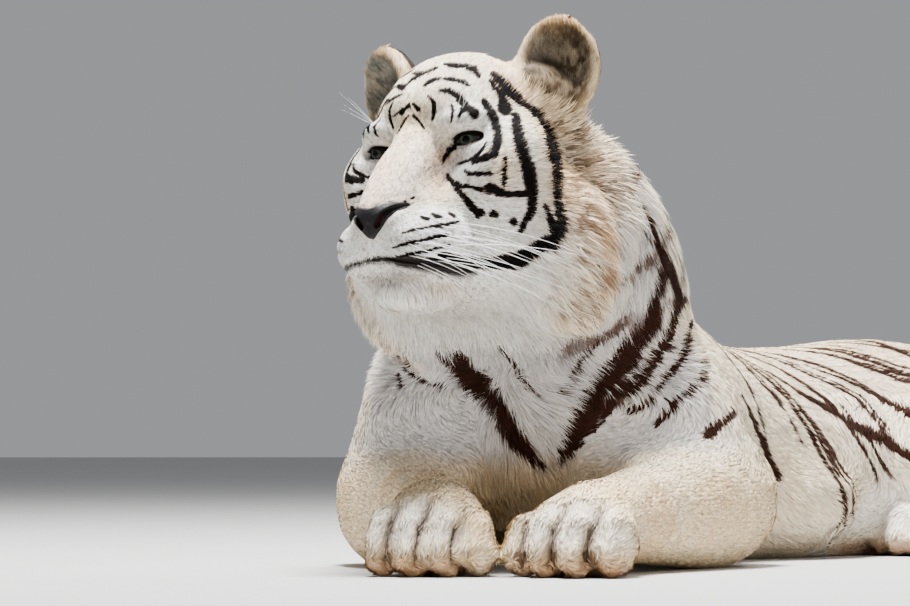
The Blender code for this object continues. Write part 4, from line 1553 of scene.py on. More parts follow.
@dataclass
class Skin:
    """The whole animal's skin: the solids' shape, closed over their cuts and drawn in by the coat's depth."""

    body: Body
    pelt: Pelt
    step: float = SKIN_STEP
    body_kept: int = 70000
    cleft: float = 0.013  # how deep the skin goes in between the lips
    seats: list[EyeSeat] = field(init=False)
    surface: Surface = field(init=False)
    lips: tuple[Array, Array] = field(init=False)
    whole_tree: BVHTree = field(init=False)  # the skin before the mouth, nose and eyes are pressed in
    lengths: Array = field(init=False)
    depths: Array = field(init=False)
    lies: Array = field(init=False)
    dark: Array = field(init=False)
    # how far each point lies in a groove between the toes, which skin and tufts darken as painted shade
    grooves: Array = field(init=False)

    def __post_init__(self) -> None:
        """Seats both eyes."""
        head = self.body.bearings.head
        self.seats = [EyeSeat(side, head, box_centre(f"eye_{side.name.lower()}")) for side in Side]

    @staticmethod
    def flesh() -> list[str]:
        """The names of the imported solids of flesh."""
        return [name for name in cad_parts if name.split("_")[0] in FLESH]

    def shape(self) -> tuple[Array, Array, Array]:
        """The solids joined, remeshed, smoothed, and thinned over the body.

        Returns:
            Points, triangles and edges.
        """
        swollen = []
        for name in (*self.flesh(), "eye_left", "eye_right"):
            points, triangles = node_arrays(name)
            swollen.append((points + point_normals(points, triangles) * CUT_CLOSING, triangles))
        remesh = {"mode": "VOXEL", "voxel_size": self.step}
        points, triangles, edges = remodelled(*joined(swollen), "REMESH", remesh)
        middle = self.body.bearings.head.world(HEAD_MIDDLE)
        off_head = np.linalg.norm(points - middle, axis=1)
        paws = np.zeros(len(points))
        for name in self.flesh():
            if "forepaw" in name:
                low, high = box_of(name)
                out = np.maximum(np.maximum(low - points, points - high), 0.0)
                paws = np.maximum(paws, smooth(np.linalg.norm(out, axis=1), 0.012, 0.0))
        points = relaxed(points, edges, 6)
        free = (1.0 - smooth(off_head, HEAD_FINE, HEAD_FINE - 0.040)) * (1.0 - paws)
        points = relaxed(points, edges, 20, free)
        plain = (np.linalg.norm(points - middle, axis=1) >= HEAD_FINE) & (paws <= 0.5)
        spare = int(plain[triangles].all(axis=1).sum())
        ratio = (len(triangles) - spare + self.body_kept) / len(triangles)
        return remodelled(points, triangles, "DECIMATE", {"ratio": ratio, "vertex_group_factor": 1.0}, plain)

    def kinds_of(self, points: Array) -> Array:
        """The guide's name at each point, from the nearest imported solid.

        Args:
            points: Rows of x, y and z.

        Returns:
            One name for each point.
        """
        names, places = [], []
        for name in self.flesh():
            corners, triangles = node_arrays(name)
            some = np.concatenate([corners, corners[triangles].mean(axis=1)])
            places.append(some)
            names += [self.body.guide_name(name)] * len(some)
        return np.array(names)[nearest_rows(np.concatenate(places), points)]

    @staticmethod
    def chin(local: Array) -> Array:
        """How much each row of left, forward and up in the head's axes belongs to the bearded chin."""
        sides = smooth(np.abs(local[:, 0]), 0.066, 0.036)
        return sides * smooth(local[:, 2], -0.154, -0.174) * smooth(local[:, 1], 0.010, 0.045)

    def lay_coat(self, edges: Array) -> None:
        """Works out the coat's depth and the tufts' length at each point of the skin.

        On the head both grow with the distance from the nose. Elsewhere they go by region,
        longer on chest and belly. Both are evened out over the skin.

        Args:
            edges: Pairs of point numbers.
        """
        points, normals, kinds = self.surface.points, self.surface.normals, self.surface.kinds
        local = self.body.bearings.head.local(points)
        depth, length = np.zeros(len(points)), np.zeros(len(points))
        for stem, lay in LAYS.items():
            mine = np.char.startswith(kinds, stem)
            depth[mine], length[mine] = lay
        far = np.linalg.norm(local - NOSE_TIP, axis=1)
        top = 1.0 - 0.48 * smooth(local[:, 2], -0.03, 0.05)
        on_head = kinds == "head"
        chin = self.chin(local) * on_head
        depth = np.where(on_head, np.interp(far, HEAD_REACH, HEAD_DEPTHS) * top, depth) + 3.0 * chin
        length = np.where(on_head, np.interp(far, HEAD_REACH, HEAD_LENGTHS) * top, length) + 18.0 * chin
        place = points - self.body.bearings.home
        trunk = (kinds == "trunk") | (kinds == "neck")
        chest = trunk * smooth(-normals[:, 1], 0.1, 0.6) * smooth(place[:, 1], 0.16, 0.06)
        fore = smooth(place[:, 2], 0.11, 0.06) * np.char.startswith(kinds, "foreleg")
        hind = smooth(place[:, 2], 0.075, 0.045) * np.char.startswith(kinds, "hindleg")
        for zone, deep, long in ((chest, 7.0, 31.0), (fore, 0.9, 14.0), (hind, 1.0, 13.0)):
            depth, length = mixed(depth, deep, zone), mixed(length, long, zone)
        length = length + 5.0 * trunk * smooth(place[:, 2], 0.09, 0.03)
        depth, length = relaxed(np.stack([depth, length], axis=1), edges, 14).T
        for seat in self.seats:
            off = seat.axes().local(points)
            gap = np.maximum(seat.beyond(off[:, (0, 2)]), 0.0) / MM
            close = smooth(gap, 20.0, 4.0) * (off[:, 1] > -0.01) * on_head
            depth, length = mixed(depth, 1.6, close), mixed(length, 5.5, close)
        self.depths, self.lengths = depth * MM, length * MM

    def lay_directions(self, edges: Array) -> None:
        """Works out which way the coat lies at each point.

        On the head it runs away from the nose and parts round the eyes. On an ear it runs
        to the tip and outwards. Elsewhere it follows the region's guide and droops a little.
        All are laid flat on the skin and evened out.

        Args:
            edges: Pairs of point numbers.
        """
        points, normals, kinds = self.surface.points, self.surface.normals, self.surface.kinds
        head = self.body.bearings.head
        lies = np.zeros_like(points)
        for name, guide in self.body.guides.items():
            rows = np.flatnonzero(kinds == name)
            if len(rows):
                lies[rows] = guide.lie(points[rows])
        rows = np.flatnonzero(kinds == "head")
        away = unit(points[rows] - head.world(NOSE_TIP))
        local = head.local(points[rows])
        fall = smooth(local[:, 2], -0.02, -0.12) * smooth(local[:, 1], 0.02, -0.08)
        away = away + (0.55 * fall + 1.8 * self.chin(local))[:, None] * np.array((0.0, 0.0, -1.0))
        for seat in self.seats:
            axes = seat.axes()
            off = axes.local(points[rows])
            gap = np.maximum(seat.beyond(off[:, (0, 2)]), 0.0)
            close = np.exp(-((gap / 0.010) ** 2)) * (off[:, 1] > -0.01)
            radial = unit(np.stack([off[:, 0], np.zeros(len(off)), off[:, 2]], axis=1)) @ axes.rows
            away = away + 1.3 * close[:, None] * radial
        lies[rows] = unit(away)
        for ear in self.body.ears:
            off = ear.axes.local(points)
            rows = np.flatnonzero((kinds == "ear") & (np.linalg.norm(off, axis=1) < 0.10))
            outward = unit(np.stack([off[rows, 0] * 6.0, np.zeros(len(rows)), 0.35 + off[rows, 2]], axis=1))
            lies[rows] = ear.axes.ways(outward)
        for _ in range(6):
            lies = lies - normals * np.sum(lies * normals, axis=1)[:, None]
            lies = relaxed(unit(lies), edges, 3)
        lies = lies - normals * np.sum(lies * normals, axis=1)[:, None]
        self.lies = unit(lies)

    def draw_in(self, edges: Array) -> None:
        """Moves the skin in by the coat's depth, but hardly up from the floor.

        Args:
            edges: Pairs of point numbers.
        """
        surface = self.surface
        away = unit(relaxed(surface.normals, edges, 4))
        move = -away * self.depths[:, None]
        rising = np.maximum(move[:, 2], 0.0)
        move[:, 2] = np.minimum(move[:, 2], 0.0) + rising * smooth(surface.points[:, 2], 0.002, 0.035)
        moved = surface.points + move
        moved[:, 2] = np.maximum(moved[:, 2], 0.3 * MM)
        surface.points = moved
        surface.normals = point_normals(moved, surface.triangles)

    def open_eyes(self) -> None:
        """Draws the skin in behind the eyeballs, under the lids, and keeps it bare there."""
        surface = self.surface
        for seat in self.seats:
            axes = seat.axes()
            local = axes.local(surface.points)
            near = (np.hypot(local[:, 0], local[:, 2]) < 0.030) & (local[:, 1] > 0.0)
            plane = local[near][:, (0, 2)]
            beyond = seat.beyond(plane)
            under = smooth(beyond, 7.5 * MM, 5.5 * MM)
            sunk = np.minimum(local[near, 1], seat.ball(plane, -4.0 * MM))
            local[near, 1] = mixed(local[near, 1], sunk, under)
            surface.points[near] = axes.world(local[near])
            surface.bare[near] = np.maximum(surface.bare[near], smooth(beyond, 9.5 * MM, 7.5 * MM))

    def model(self, edges: Array) -> None:
        """Models the face with the brushes, and grooves between the toes, which are also kept for their
        painted shade.

        A paw's grooves are three bell curves across it, from its front back over the toes.

        Args:
            edges: Pairs of point numbers.
        """
        surface = self.surface
        folded = one_side(self.body.bearings.head.local(surface.points))
        push, self.grooves = np.zeros(len(folded)), np.zeros(len(folded))
        for brush in BRUSHES:
            push += brush.heights(folded)
        for paw, heading in self.paws():
            low, high = box_of(paw)
            aside = np.array((-heading[1], heading[0], 0.0))
            off = surface.points - (low + high) / 2.0
            ahead = off @ heading
            reach = (np.abs(off @ aside) < 0.085) & (ahead > -0.09) & (ahead < 0.14)
            reach = reach & (surface.points[:, 2] < high[2] + 0.02)
            front = ahead[reach].max()
            half = np.abs((off @ aside)[reach & (ahead > front - 0.05)]).max()
            share = (off @ aside) / half
            toes = smooth(ahead, front - 0.085, front - 0.035) * reach
            toes = toes * smooth(surface.points[:, 2], 0.004, 0.014)
            grooves = sum(np.exp(-(((share - place) / 0.045) ** 2)) for place in (-0.50, 0.0, 0.50))
            swell = np.cos((share * 4.0 + 1.0) * math.pi) * smooth(np.abs(share), 1.0, 0.8)
            push += toes * (2.2 * swell - 9.0 * grooves) * MM
            # kept to paint shade into the grooves
            self.grooves = np.maximum(self.grooves, toes * grooves)
        surface.points = surface.points + unit(relaxed(surface.normals, edges, 3)) * push[:, None]
        surface.normals = point_normals(surface.points, surface.triangles)

    def paws(self) -> list[tuple[str, Array]]:
        """Finds the paws.

        Returns:
            Each paw's solid and its direction over the floor.
        """
        found = []
        for name in self.flesh():
            if "paw" in name:
                path = self.body.guides[self.body.guide_name(name)].path
                found.append((name, unit((path[-1] - path[-9]) * (1.0, 1.0, 0.0))))
        return found

    def part_lips(self) -> None:
        """Presses the cleft between the lips and marks its bare dark edges."""
        surface = self.surface
        head = self.body.bearings.head
        self.lips = Mouth().edges(head, self.whole_tree)
        upper, lower = self.lips
        gap, number, along = line_distances(head.local(surface.points), (upper + lower) / 2.0)
        half = between(np.linalg.norm(upper - lower, axis=1) / 2.0, number, along)
        deep = self.cleft * smooth(half, 0.5 * MM, 4.5 * MM)
        press = deep * smooth(gap, half + 1.2 * MM, half * 0.35)
        surface.points -= surface.normals * press[:, None]
        surface.bare = np.maximum(surface.bare, smooth(gap, half + 1.8 * MM, half + 0.6 * MM))
        self.dark = smooth(gap, half + 4.5 * MM, half + 1.5 * MM)

    def seat_nose(self) -> None:
        """Presses the skin in under the bare nose, most under the nostrils, and keeps it bare there."""
        surface = self.surface
        local = self.body.bearings.head.local(surface.points)
        outline = NoseOutline()
        plane = local[:, (0, 2)]
        under = smooth(outline.share(plane), 1.03, 0.95) * (local[:, 1] > 0.07)
        press = under * (1.6 + 13.0 * outline.opening(plane)) * MM
        surface.points = surface.points - self.body.bearings.head.rows[1] * press[:, None]
        surface.bare = np.maximum(surface.bare, under)

    def build(self) -> Surface:
        """Makes the skin, with its lids.

        Returns:
            The finished surface.
        """
        points, triangles, edges = self.shape()
        self.surface = Surface(points, triangles)
        self.surface.kinds = self.kinds_of(points)
        self.lay_coat(edges)
        self.draw_in(edges)
        self.model(edges)
        self.lay_directions(edges)
        self.whole_tree = self.surface.tree()
        lids = [Lids(seat).rings(self.whole_tree) for seat in self.seats]
        self.part_lips()
        self.seat_nose()
        self.open_eyes()
        self.join_lids(lids)
        surface = self.surface
        surface.normals = point_normals(surface.points, surface.triangles)
        under = smooth(surface.points[:, 2], 5.0 * MM, 2.0 * MM) * smooth(-surface.normals[:, 2], 0.5, 0.8)
        surface.bare = np.maximum(surface.bare, under)
        self.darken_rims()
        return surface

    def join_lids(self, lids: Sequence[tuple[Array, Array]]) -> None:
        """Adds the lids to the skin, with the coat's facts read from the nearest skin.

        Args:
            lids: Points and quads of each lid.
        """
        surface = self.surface
        nearest = nearest_rows(surface.points, np.concatenate([points for points, _ in lids]))
        for seat, (points, quads), rows in zip(self.seats, lids, np.split(nearest, len(lids))):
            offset = seat.beyond(seat.axes().local(points)[:, (0, 2)]) / MM
            none = np.zeros(len(points))
            edge = np.maximum(smooth(offset, 3.6, 2.4), smooth(offset, 10.0, 11.5))
            for owner, name, values in (
                (surface, "triangles", split_quads(quads) + len(surface.points)),
                (surface, "points", points),
                (surface, "kinds", np.full(len(points), "head")),
                (surface, "bare", edge),
                (self, "dark", none),
                (self, "grooves", none),
                (self, "depths", none + 1.4 * MM),
                (self, "lengths", (4.0 + 0.25 * np.clip(offset, 0.0, 12.0)) * MM),
                (self, "lies", self.lies[rows]),
            ):
                setattr(owner, name, np.concatenate([getattr(owner, name), values]))

    def darken_rims(self) -> None:
        """Marks the bare dark rim of the lids, and the dark line from each inner corner."""
        points = self.surface.points
        for seat in self.seats:
            local = seat.axes().local(points)
            near = (np.hypot(local[:, 0], local[:, 2]) < 0.040) & (local[:, 1] > 0.0)
            plane = local[near][:, (0, 2)]
            high = smooth(plane[:, 1], 0.0, 4.0 * MM)
            rim = smooth(seat.beyond(plane) - 3.4 * MM * high, 3.4 * MM, 2.2 * MM)
            tear = Stroke(((-14.0, -0.6, 3.6), (-20.0, -4.5, 3.6), (-26.0, -12.0, 2.6), (-30.0, -20.0, 1.2)))
            shade = np.maximum(rim, tear.cover(plane, np.zeros(len(plane))))
            self.dark[near] = np.maximum(self.dark[near], shade)
            self.surface.bare[near] = np.maximum(self.surface.bare[near], smooth(shade, 0.5, 0.9))

    def colours(self) -> Array:
        """The skin's colour at each point: the coat's own, darkened a little as painted shade under the coat,
        with painted shade in the toes' grooves and the dark rims.

        Returns:
            Rows of linear red, green and blue.
        """
        surface = self.surface
        # painted shade: the skin under the coat is made darker than the coat itself
        result = self.pelt.colours(surface.points, surface.normals, surface.kinds) * 0.90
        # painted shade in the grooves between the toes
        result = blend(result, self.pelt.markings.dyes.rust * 0.4, self.grooves)
        return blend(result, self.pelt.markings.dyes.face_dark, self.dark)


# ---------------------------------------------------------------- the coat
def unwrap(points: Array, triangles: Array) -> Array:
    """Lays a stretch of skin flat on the unit square, by its own shape.

    Args:
        points: Rows of x, y and z of the whole skin.
        triangles: The stretch's triangles.

    Returns:
        Two numbers for each corner of each triangle.
    """
    used, numbers = np.unique(triangles, return_inverse=True)
    sheet = mesh_object("stretch", points[used], numbers.reshape(-1, 3))
    bpy.context.view_layer.objects.active = sheet
    for other in bpy.context.selected_objects:
        other.select_set(False)
    sheet.select_set(True)
    bpy.ops.object.mode_set(mode="EDIT")
    bpy.ops.mesh.select_all(action="SELECT")
    bpy.ops.uv.smart_project(angle_limit=math.radians(72), island_margin=0.002)
    bpy.ops.object.mode_set(mode="OBJECT")
    flat = np.empty(len(triangles) * 6, np.float32)
    sheet.data.uv_layers.active.data.foreach_get("uv", flat)
    mesh = sheet.data
    bpy.data.objects.remove(sheet)
    bpy.data.meshes.remove(mesh)
    return flat.reshape(-1, 3, 2)


BLADE = np.array(((0, 1, 2), (0, 2, 3), (3, 2, 4)))  # a tuft's faces, over its five points
BLADE_LEANS = np.array((-0.10, -0.10, 0.0, 0.0, 0.20))  # how far each point is shaded along the lie
# Painted shade: each tuft's root is darkened where the tufts above it shade it; the tip is a little lighter,
# as the hair's own tone.
BLADE_PAINTED_SHADE = np.array((0.62, 0.62, 0.95, 0.95, 1.06))  # how bright each point is


@dataclass
class CoatPiece:
    """One stretch of the coat: thin tufts that root in the skin, lie along it and overlap."""

    name: str
    cap: int
    seed: int
    coverage: float = 2.9  # how many tufts lie over each other
    clump: float = 0.5  # how far neighbouring tips draw together
    swirl: float = 0.30  # how far neighbours turn aside together
    stray: float = 0.16  # how far each tuft turns aside alone
    spread: float = 0.16  # how much lengths differ
    roll: float = 0.35  # how far blades turn about their length
    bend: float = 0.44  # where along its length a blade is widest
    lay_under: float = 0.62  # where along its length a blade's colour is read

    def roots(self, skin: Skin, triangles: Array, draw: np.random.Generator) -> tuple[Array, Array, float]:
        """Spreads the tufts' roots evenly over the stretch, closer where tufts are small.

        Args:
            skin: The skin.
            triangles: The stretch's triangles.
            draw: The scatter's source.

        Returns:
            Each root's triangle, its three weights there, and how much the tufts are widened.
        """
        surface = skin.surface
        a, b, c = (surface.points[triangles[:, k]] for k in range(3))
        area = 0.5 * np.linalg.norm(np.cross(b - a, c - a), axis=1)
        length = skin.lengths[triangles].mean(axis=1)
        bare = surface.bare[triangles].mean(axis=1)
        want = area * np.clip(1.0 - bare, 0.0, 1.0) / (0.6 * length * self.width(length))
        total = want.sum() * self.coverage
        count = int(min(self.cap, total * 2.6))
        marks = (np.arange(count) + draw.random(count)) / count
        chosen = np.searchsorted(np.cumsum(want) / want.sum(), marks).clip(0, len(triangles) - 1)
        u, v = np.sqrt(draw.random(count)), draw.random(count)
        weights = np.stack([1.0 - u, u * (1.0 - v), u * v], axis=1)
        return chosen, weights, total / count

    @staticmethod
    def width(length: Array) -> Array:
        """A tuft's usual width: a small share of its length and a little more."""
        return 0.055 * length + 0.42 * MM

    def build(self, skin: Skin, pelt: Pelt, triangles: Array) -> bpy.types.Object:
        """Makes the stretch.

        A tuft is a narrow blade of three triangles: a pair of points at the root, a wider
        pair near the middle of its length and one point at the tip. It rises to the coat's
        full depth at the middle; a short tuft's tip bends back to the skin and a long one's
        stays out. Neighbouring tips draw together into locks, towards scattered centres, and
        each tuft is shaded as a part of its lock's rounded back.

        Args:
            skin: The skin.
            pelt: The coat's colours.
            triangles: The stretch's triangles.

        Returns:
            The finished piece.
        """
        draw = np.random.default_rng(self.seed)
        surface, dyes = skin.surface, pelt.markings.dyes
        chosen, weights, widen = self.roots(skin, triangles, draw)
        corners = triangles[chosen]
        count = len(chosen)

        def at_root(values: Array) -> Array:
            """Blends a value of the skin's points at each root."""
            return np.einsum("nk,nk...->n...", weights, values[corners])

        def scatter(limit: float) -> Array:
            """A normal number for each tuft, within a limit."""
            return draw.normal(size=count).clip(-limit, limit)

        root, normal = at_root(surface.points), unit(at_root(surface.normals))
        lie = unit(at_root(skin.lies) + 0.001 * normal)
        across = unit(np.cross(lie, normal))
        usual = at_root(skin.lengths)
        wild = 0.50 + 0.50 * smooth(usual, 12.0 * MM, 40.0 * MM)
        swirl = wild * (self.swirl * noise(root, 0.022, self.seed + 1) + self.stray * draw.normal(size=count))
        lie = unit(lie + across * swirl[:, None])
        across = unit(np.cross(lie, normal))
        length = usual * (0.86 + self.spread * scatter(2.0) + 0.12 * noise(root, 0.03, self.seed + 2))
        height = at_root(skin.depths) * (0.78 + 0.20 * draw.random(count)) + 0.1 * MM
        width = self.width(length) * widen * (0.8 + 0.4 * draw.random(count))
        width = np.clip(width, 0.40 * MM, 3.4 * MM)
        off = self.locks(root, across, length)
        pull = across * (off * self.clump * wild)[:, None]
        round_back = -across * (0.9 * wild * off / self.cell(length)).clip(-0.6, 0.6)[:, None]
        roll = self.roll * wild * scatter(1.8)
        flat = across * np.cos(roll)[:, None] + normal * np.sin(roll)[:, None]
        half = (flat.T * width * 0.5).T
        lift = 0.50 + 0.55 * smooth(length, 13.0 * MM, 36.0 * MM)
        low = root - normal * 0.5 * MM
        middle = root + (lie.T * length * self.bend + normal.T * height * 0.95 + pull.T * 0.35).T
        tip = root + (lie.T * length + normal.T * height * lift + pull.T).T
        points = np.stack([low - half * 0.7, low + half * 0.7, middle + half, middle - half, tip], axis=1)
        points[:, :, 2] = np.maximum(points[:, :, 2], 0.2 * MM)
        shading = unit((normal + round_back)[:, None, :] + lie[:, None, :] * BLADE_LEANS[None, :, None])
        faces = ((np.arange(count) * len(BLADE_LEANS))[:, None, None] + BLADE).reshape(-1, 3)
        kinds = surface.kinds[corners[np.arange(count), weights.argmax(axis=1)]]
        colour = pelt.colours(root + lie * (length * self.lay_under)[:, None], normal, kinds)
        colour = blend(colour, dyes.face_dark, 0.9 * np.clip(at_root(skin.dark), 0.0, 1.0))
        # painted shade: tufts rooted in the toes' grooves are darkened
        colour = blend(colour, dyes.rust * 0.4, 0.95 * np.clip(at_root(skin.grooves), 0.0, 1.0))
        short = smooth(usual, 17.0 * MM, 8.0 * MM)
        bright = 1.0 + (0.14 + 0.16 * short) * draw.normal(size=count)
        layers = ((0.05, 0.015), (0.18 + 0.32 * short, 0.0032), (0.14 * wild, 0.007))
        for number, (share, cells) in enumerate(layers, start=3):
            bright = bright + share * noise(root, cells, self.seed + number)
        colour = colour * np.clip(bright, 0.30, 1.25)[:, None]
        # each tuft's colour, darker at the root as painted shade
        shades = (colour[:, None, :] * BLADE_PAINTED_SHADE[None, :, None]).reshape(-1, 3).clip(0.0, 0.96)
        flat_map = self.patches(unwrap(surface.points, triangles), chosen, weights)
        return mesh_object(self.name, points.reshape(-1, 3), faces, shades, flat_map, shading.reshape(-1, 3))

    @staticmethod
    def cell(length: Array) -> float:
        """The width of a lock, from the usual length of its tufts."""
        return float(np.median(length)) * 0.40

    def locks(self, root: Array, across: Array, length: Array) -> Array:
        """How far to the side each root's lock has its centre.

        The centres are one to each cell of a lattice about a third of a tuft's length wide,
        shifted by a scattered amount.

        Args:
            root: The tufts' roots.
            across: Directions across the tufts.
            length: The tufts' lengths.

        Returns:
            Metres along across, for each tuft.
        """
        cell = self.cell(length)
        cells = np.floor(root / cell).astype(np.int64)
        shift = np.stack([lattice(cells, self.seed + 30 + k) for k in range(3)], axis=1)
        centre = (cells + 0.5 + 0.35 * shift) * cell
        return np.sum((centre - root) * across, axis=1)

    @staticmethod
    def patches(flat: Array, chosen: Array, weights: Array) -> Array:
        """Each tuft's small patch at its root's place on the unwrapped skin.

        Args:
            flat: The unwrap's two numbers for each corner of each triangle.
            chosen: Each root's triangle.
            weights: Each root's weights in it.

        Returns:
            Two numbers for each corner of each of the tufts' faces.
        """
        place = np.einsum("nk,nkd->nd", weights, flat[chosen])
        half = PATCH / 2.0
        corner = np.array(((-half, -half), (half, -half), (half, 0.0), (-half, 0.0), (0.0, half)))
        return (place.clip(half, 1.0 - half)[:, None, :] + corner[BLADE.ravel()]).reshape(-1, 2)


@dataclass
class Coat:
    """The whole coat, in pieces by region."""

    skin: Skin
    pelt: Pelt
    shaggy: tuple[str, ...] = ("coat_ruff", "coat_neck", "coat_chest")
    shaggy_coverage: float = 4.8
    first_seed: int = 200
    seed_step: int = 40

    def stretches(self) -> dict[str, tuple[Array, int]]:
        """Sorts the skin's triangles into the coat's pieces.

        Returns:
            The triangles of each piece, and the most tufts it may have.
        """
        surface, body = self.skin.surface, self.skin.body
        middle = surface.points[surface.triangles].mean(axis=1)
        kinds = surface.kinds[surface.triangles[:, 0]]
        local = body.bearings.head.local(middle)
        far = np.linalg.norm(local - NOSE_TIP, axis=1)
        place = middle - body.bearings.home
        side = body.flank.chart(middle)[1]
        headed = (kinds == "head") | (kinds == "ear")
        face = headed & (far < 0.168) & (kinds == "head")
        trunk = kinds == "trunk"
        chest = trunk & (place[:, 1] < 0.10)
        tests = {
            "coat_face": (face, 62000),
            "coat_crown": (headed & ~face & ((local[:, 2] > -0.035) | (kinds == "ear")), 54000),
            "coat_ruff": (headed & ~face & (local[:, 2] <= -0.035) & (kinds == "head"), 52000),
            "coat_neck": (kinds == "neck", 44000),
            "coat_chest": (chest, 44000),
            "coat_side_left": (trunk & ~chest & (side > 0), 62000),
            "coat_side_right": (trunk & ~chest & (side < 0), 50000),
            "coat_forelegs": (np.char.startswith(kinds, "foreleg"), 56000),
            "coat_hindlegs": (np.char.startswith(kinds, "hindleg"), 46000),
            "coat_tail": (kinds == "tail", 20000),
        }
        return {name: (surface.triangles[chosen], most) for name, (chosen, most) in tests.items()}

    def build(self, finish: Any) -> list[bpy.types.Object]:
        """Makes every piece.

        Args:
            finish: The coat's finish.

        Returns:
            The pieces.
        """
        made = []
        for number, (name, (triangles, most)) in enumerate(self.stretches().items()):
            cover = self.shaggy_coverage if name in self.shaggy else CoatPiece.coverage
            stretch = CoatPiece(name, most, self.first_seed + self.seed_step * number, cover)
            piece = stretch.build(self.skin, self.pelt, triangles)
            dress(piece, finish)
            log.info("%s: %d tufts", name, len(piece.data.polygons) // 3)
            made.append(piece)
        return made


# ---------------------------------------------------------------- eyes, nose, lips, whiskers and claws
def tubes(path: Array, radius: Array, aside: Array, rise: Array, sides: int) -> tuple[Array, Array]:
    """Tubes round paths: each ring is a circle in the plane of two directions.

    Args:
        path: For each tube, rows of coordinates.
        radius: For each tube, or for all, the radius at each row.
        aside: The first direction of each tube's rings.
        rise: The second.
        sides: Number of points in a ring.

    Returns:
        The points of all tubes and their quads.
    """
    count, rings, _ = path.shape
    turn = circle(sides)[:, None]
    ring = np.cos(turn) * aside[:, :, None, :] + np.sin(turn) * rise[:, :, None, :]
    points = path[:, :, None, :] + radius[:, :, None, None] * ring
    quads = grid_faces(rings, sides, ring=True) + (np.arange(count) * rings * sides)[:, None, None]
    return points.reshape(-1, 3), quads.reshape(-1, 4)


def closed_piece(name: str, points: Array, quads: Array, colours: Array | None = None) -> bpy.types.Object:
    """A piece with its ends closed and its faces turned outwards.

    Args:
        name: The piece's name.
        points: Rows of x, y and z.
        quads: Rows of four corner numbers.
        colours: Linear red, green and blue for each point.

    Returns:
        The finished piece.
    """
    made = mesh_object(name, points, quads, colours)
    shape = bmesh.new()
    shape.from_mesh(made.data)
    bmesh.ops.holes_fill(shape, edges=[edge for edge in shape.edges if edge.is_boundary], sides=0)
    bmesh.ops.recalc_face_normals(shape, faces=shape.faces)
    for face in shape.faces:
        face.smooth = True
    shape.to_mesh(made.data)
    shape.free()
    return made
@dataclass
class Eyeball:
    """A glassy eyeball with a domed cornea; its colours run out from the pupil and round it."""

    seat: EyeSeat
    rows: int = 60
    columns: int = 96
    dome: float = 0.0017
    dome_width: float = math.radians(34.0)
    pupil: float = 0.23  # angle of the pupil's edge from the look
    iris: float = 0.66  # angle of the iris's edge
    pale: Array = dye(52, 60, 44)
    deep: Array = dye(24, 34, 30)
    edge: Array = dye(14, 15, 14)
    beyond: Array = dye(52, 38, 32)
    black: Array = dye(2, 2, 3)

    def build(self, name: str) -> bpy.types.Object:
        """Makes the eyeball.

        It is a sphere given by the angle from its look and the turn round it. The radius is
        a little larger near the look, by a soft step, for the cornea.

        Args:
            name: The piece's name.

        Returns:
            The finished piece.
        """
        tilt = np.linspace(0.0, 1.0, self.rows) ** 1.25 * math.pi
        t, a = np.meshgrid(tilt[1:-1], circle(self.columns), indexing="ij")
        radius = self.seat.radius + self.dome * smooth(t, self.dome_width, self.dome_width * 0.35)
        directions = np.stack([np.sin(t) * np.cos(a), np.cos(t), np.sin(t) * np.sin(a)], axis=-1)
        local = (radius[..., None] * directions).reshape(-1, 3)
        ends = np.array(((0.0, self.seat.radius + self.dome, 0.0), (0.0, -self.seat.radius, 0.0)))
        points = np.vstack([ends[:1], local, ends[1:]])
        angle = np.concatenate([[0.0], t.ravel(), [math.pi]])
        first = np.arange(self.columns)
        after = (first + 1) % self.columns
        last = len(points) - 1
        tail = last - self.columns
        triangles = np.concatenate([
            np.stack([np.zeros_like(first), after + 1, first + 1], axis=1),
            split_quads(grid_faces(self.rows - 2, self.columns, ring=True, offset=1)),
            np.stack([np.full_like(first, last), tail + first, tail + after], axis=1),
        ])
        world = self.seat.axes().world(points)
        if point_normals(world, triangles)[0] @ self.seat.axes().rows[1] < 0:
            triangles = triangles[:, ::-1]
        return mesh_object(name, world, triangles, self.colours(angle, points))

    def colours(self, angle: Array, points: Array) -> Array:
        """The eye's colours in rings: round pupil, grey-green iris with fibres, dark edge, brown beyond.

        Args:
            angle: Angle from the look.
            points: The points in the eye's axes.

        Returns:
            Rows of linear red, green and blue.
        """
        around = np.stack([angle * 0.0, points[:, 0], points[:, 2]], axis=1)
        around = around / np.maximum(np.sin(angle), 0.05)[:, None]
        fibres = noise(around, 0.0011, 7) + 0.6 * noise(around, 0.0005, 8)
        inner = self.pupil + (self.iris - self.pupil) * 0.25
        result = np.tile(self.pale, (len(angle), 1))
        result = blend(result, self.deep, smooth(angle, inner, 0.52))
        result = result * (1.0 + 0.30 * fibres)[:, None].clip(0.5, 1.5)
        for ring, low, high in (
            (self.edge, self.iris - 0.12, self.iris),
            (self.beyond, self.iris + 0.03, self.iris + 0.12),
            (self.black, self.pupil + 0.03, self.pupil),
        ):
            result = blend(result, ring, smooth(angle, low, high))
        return result


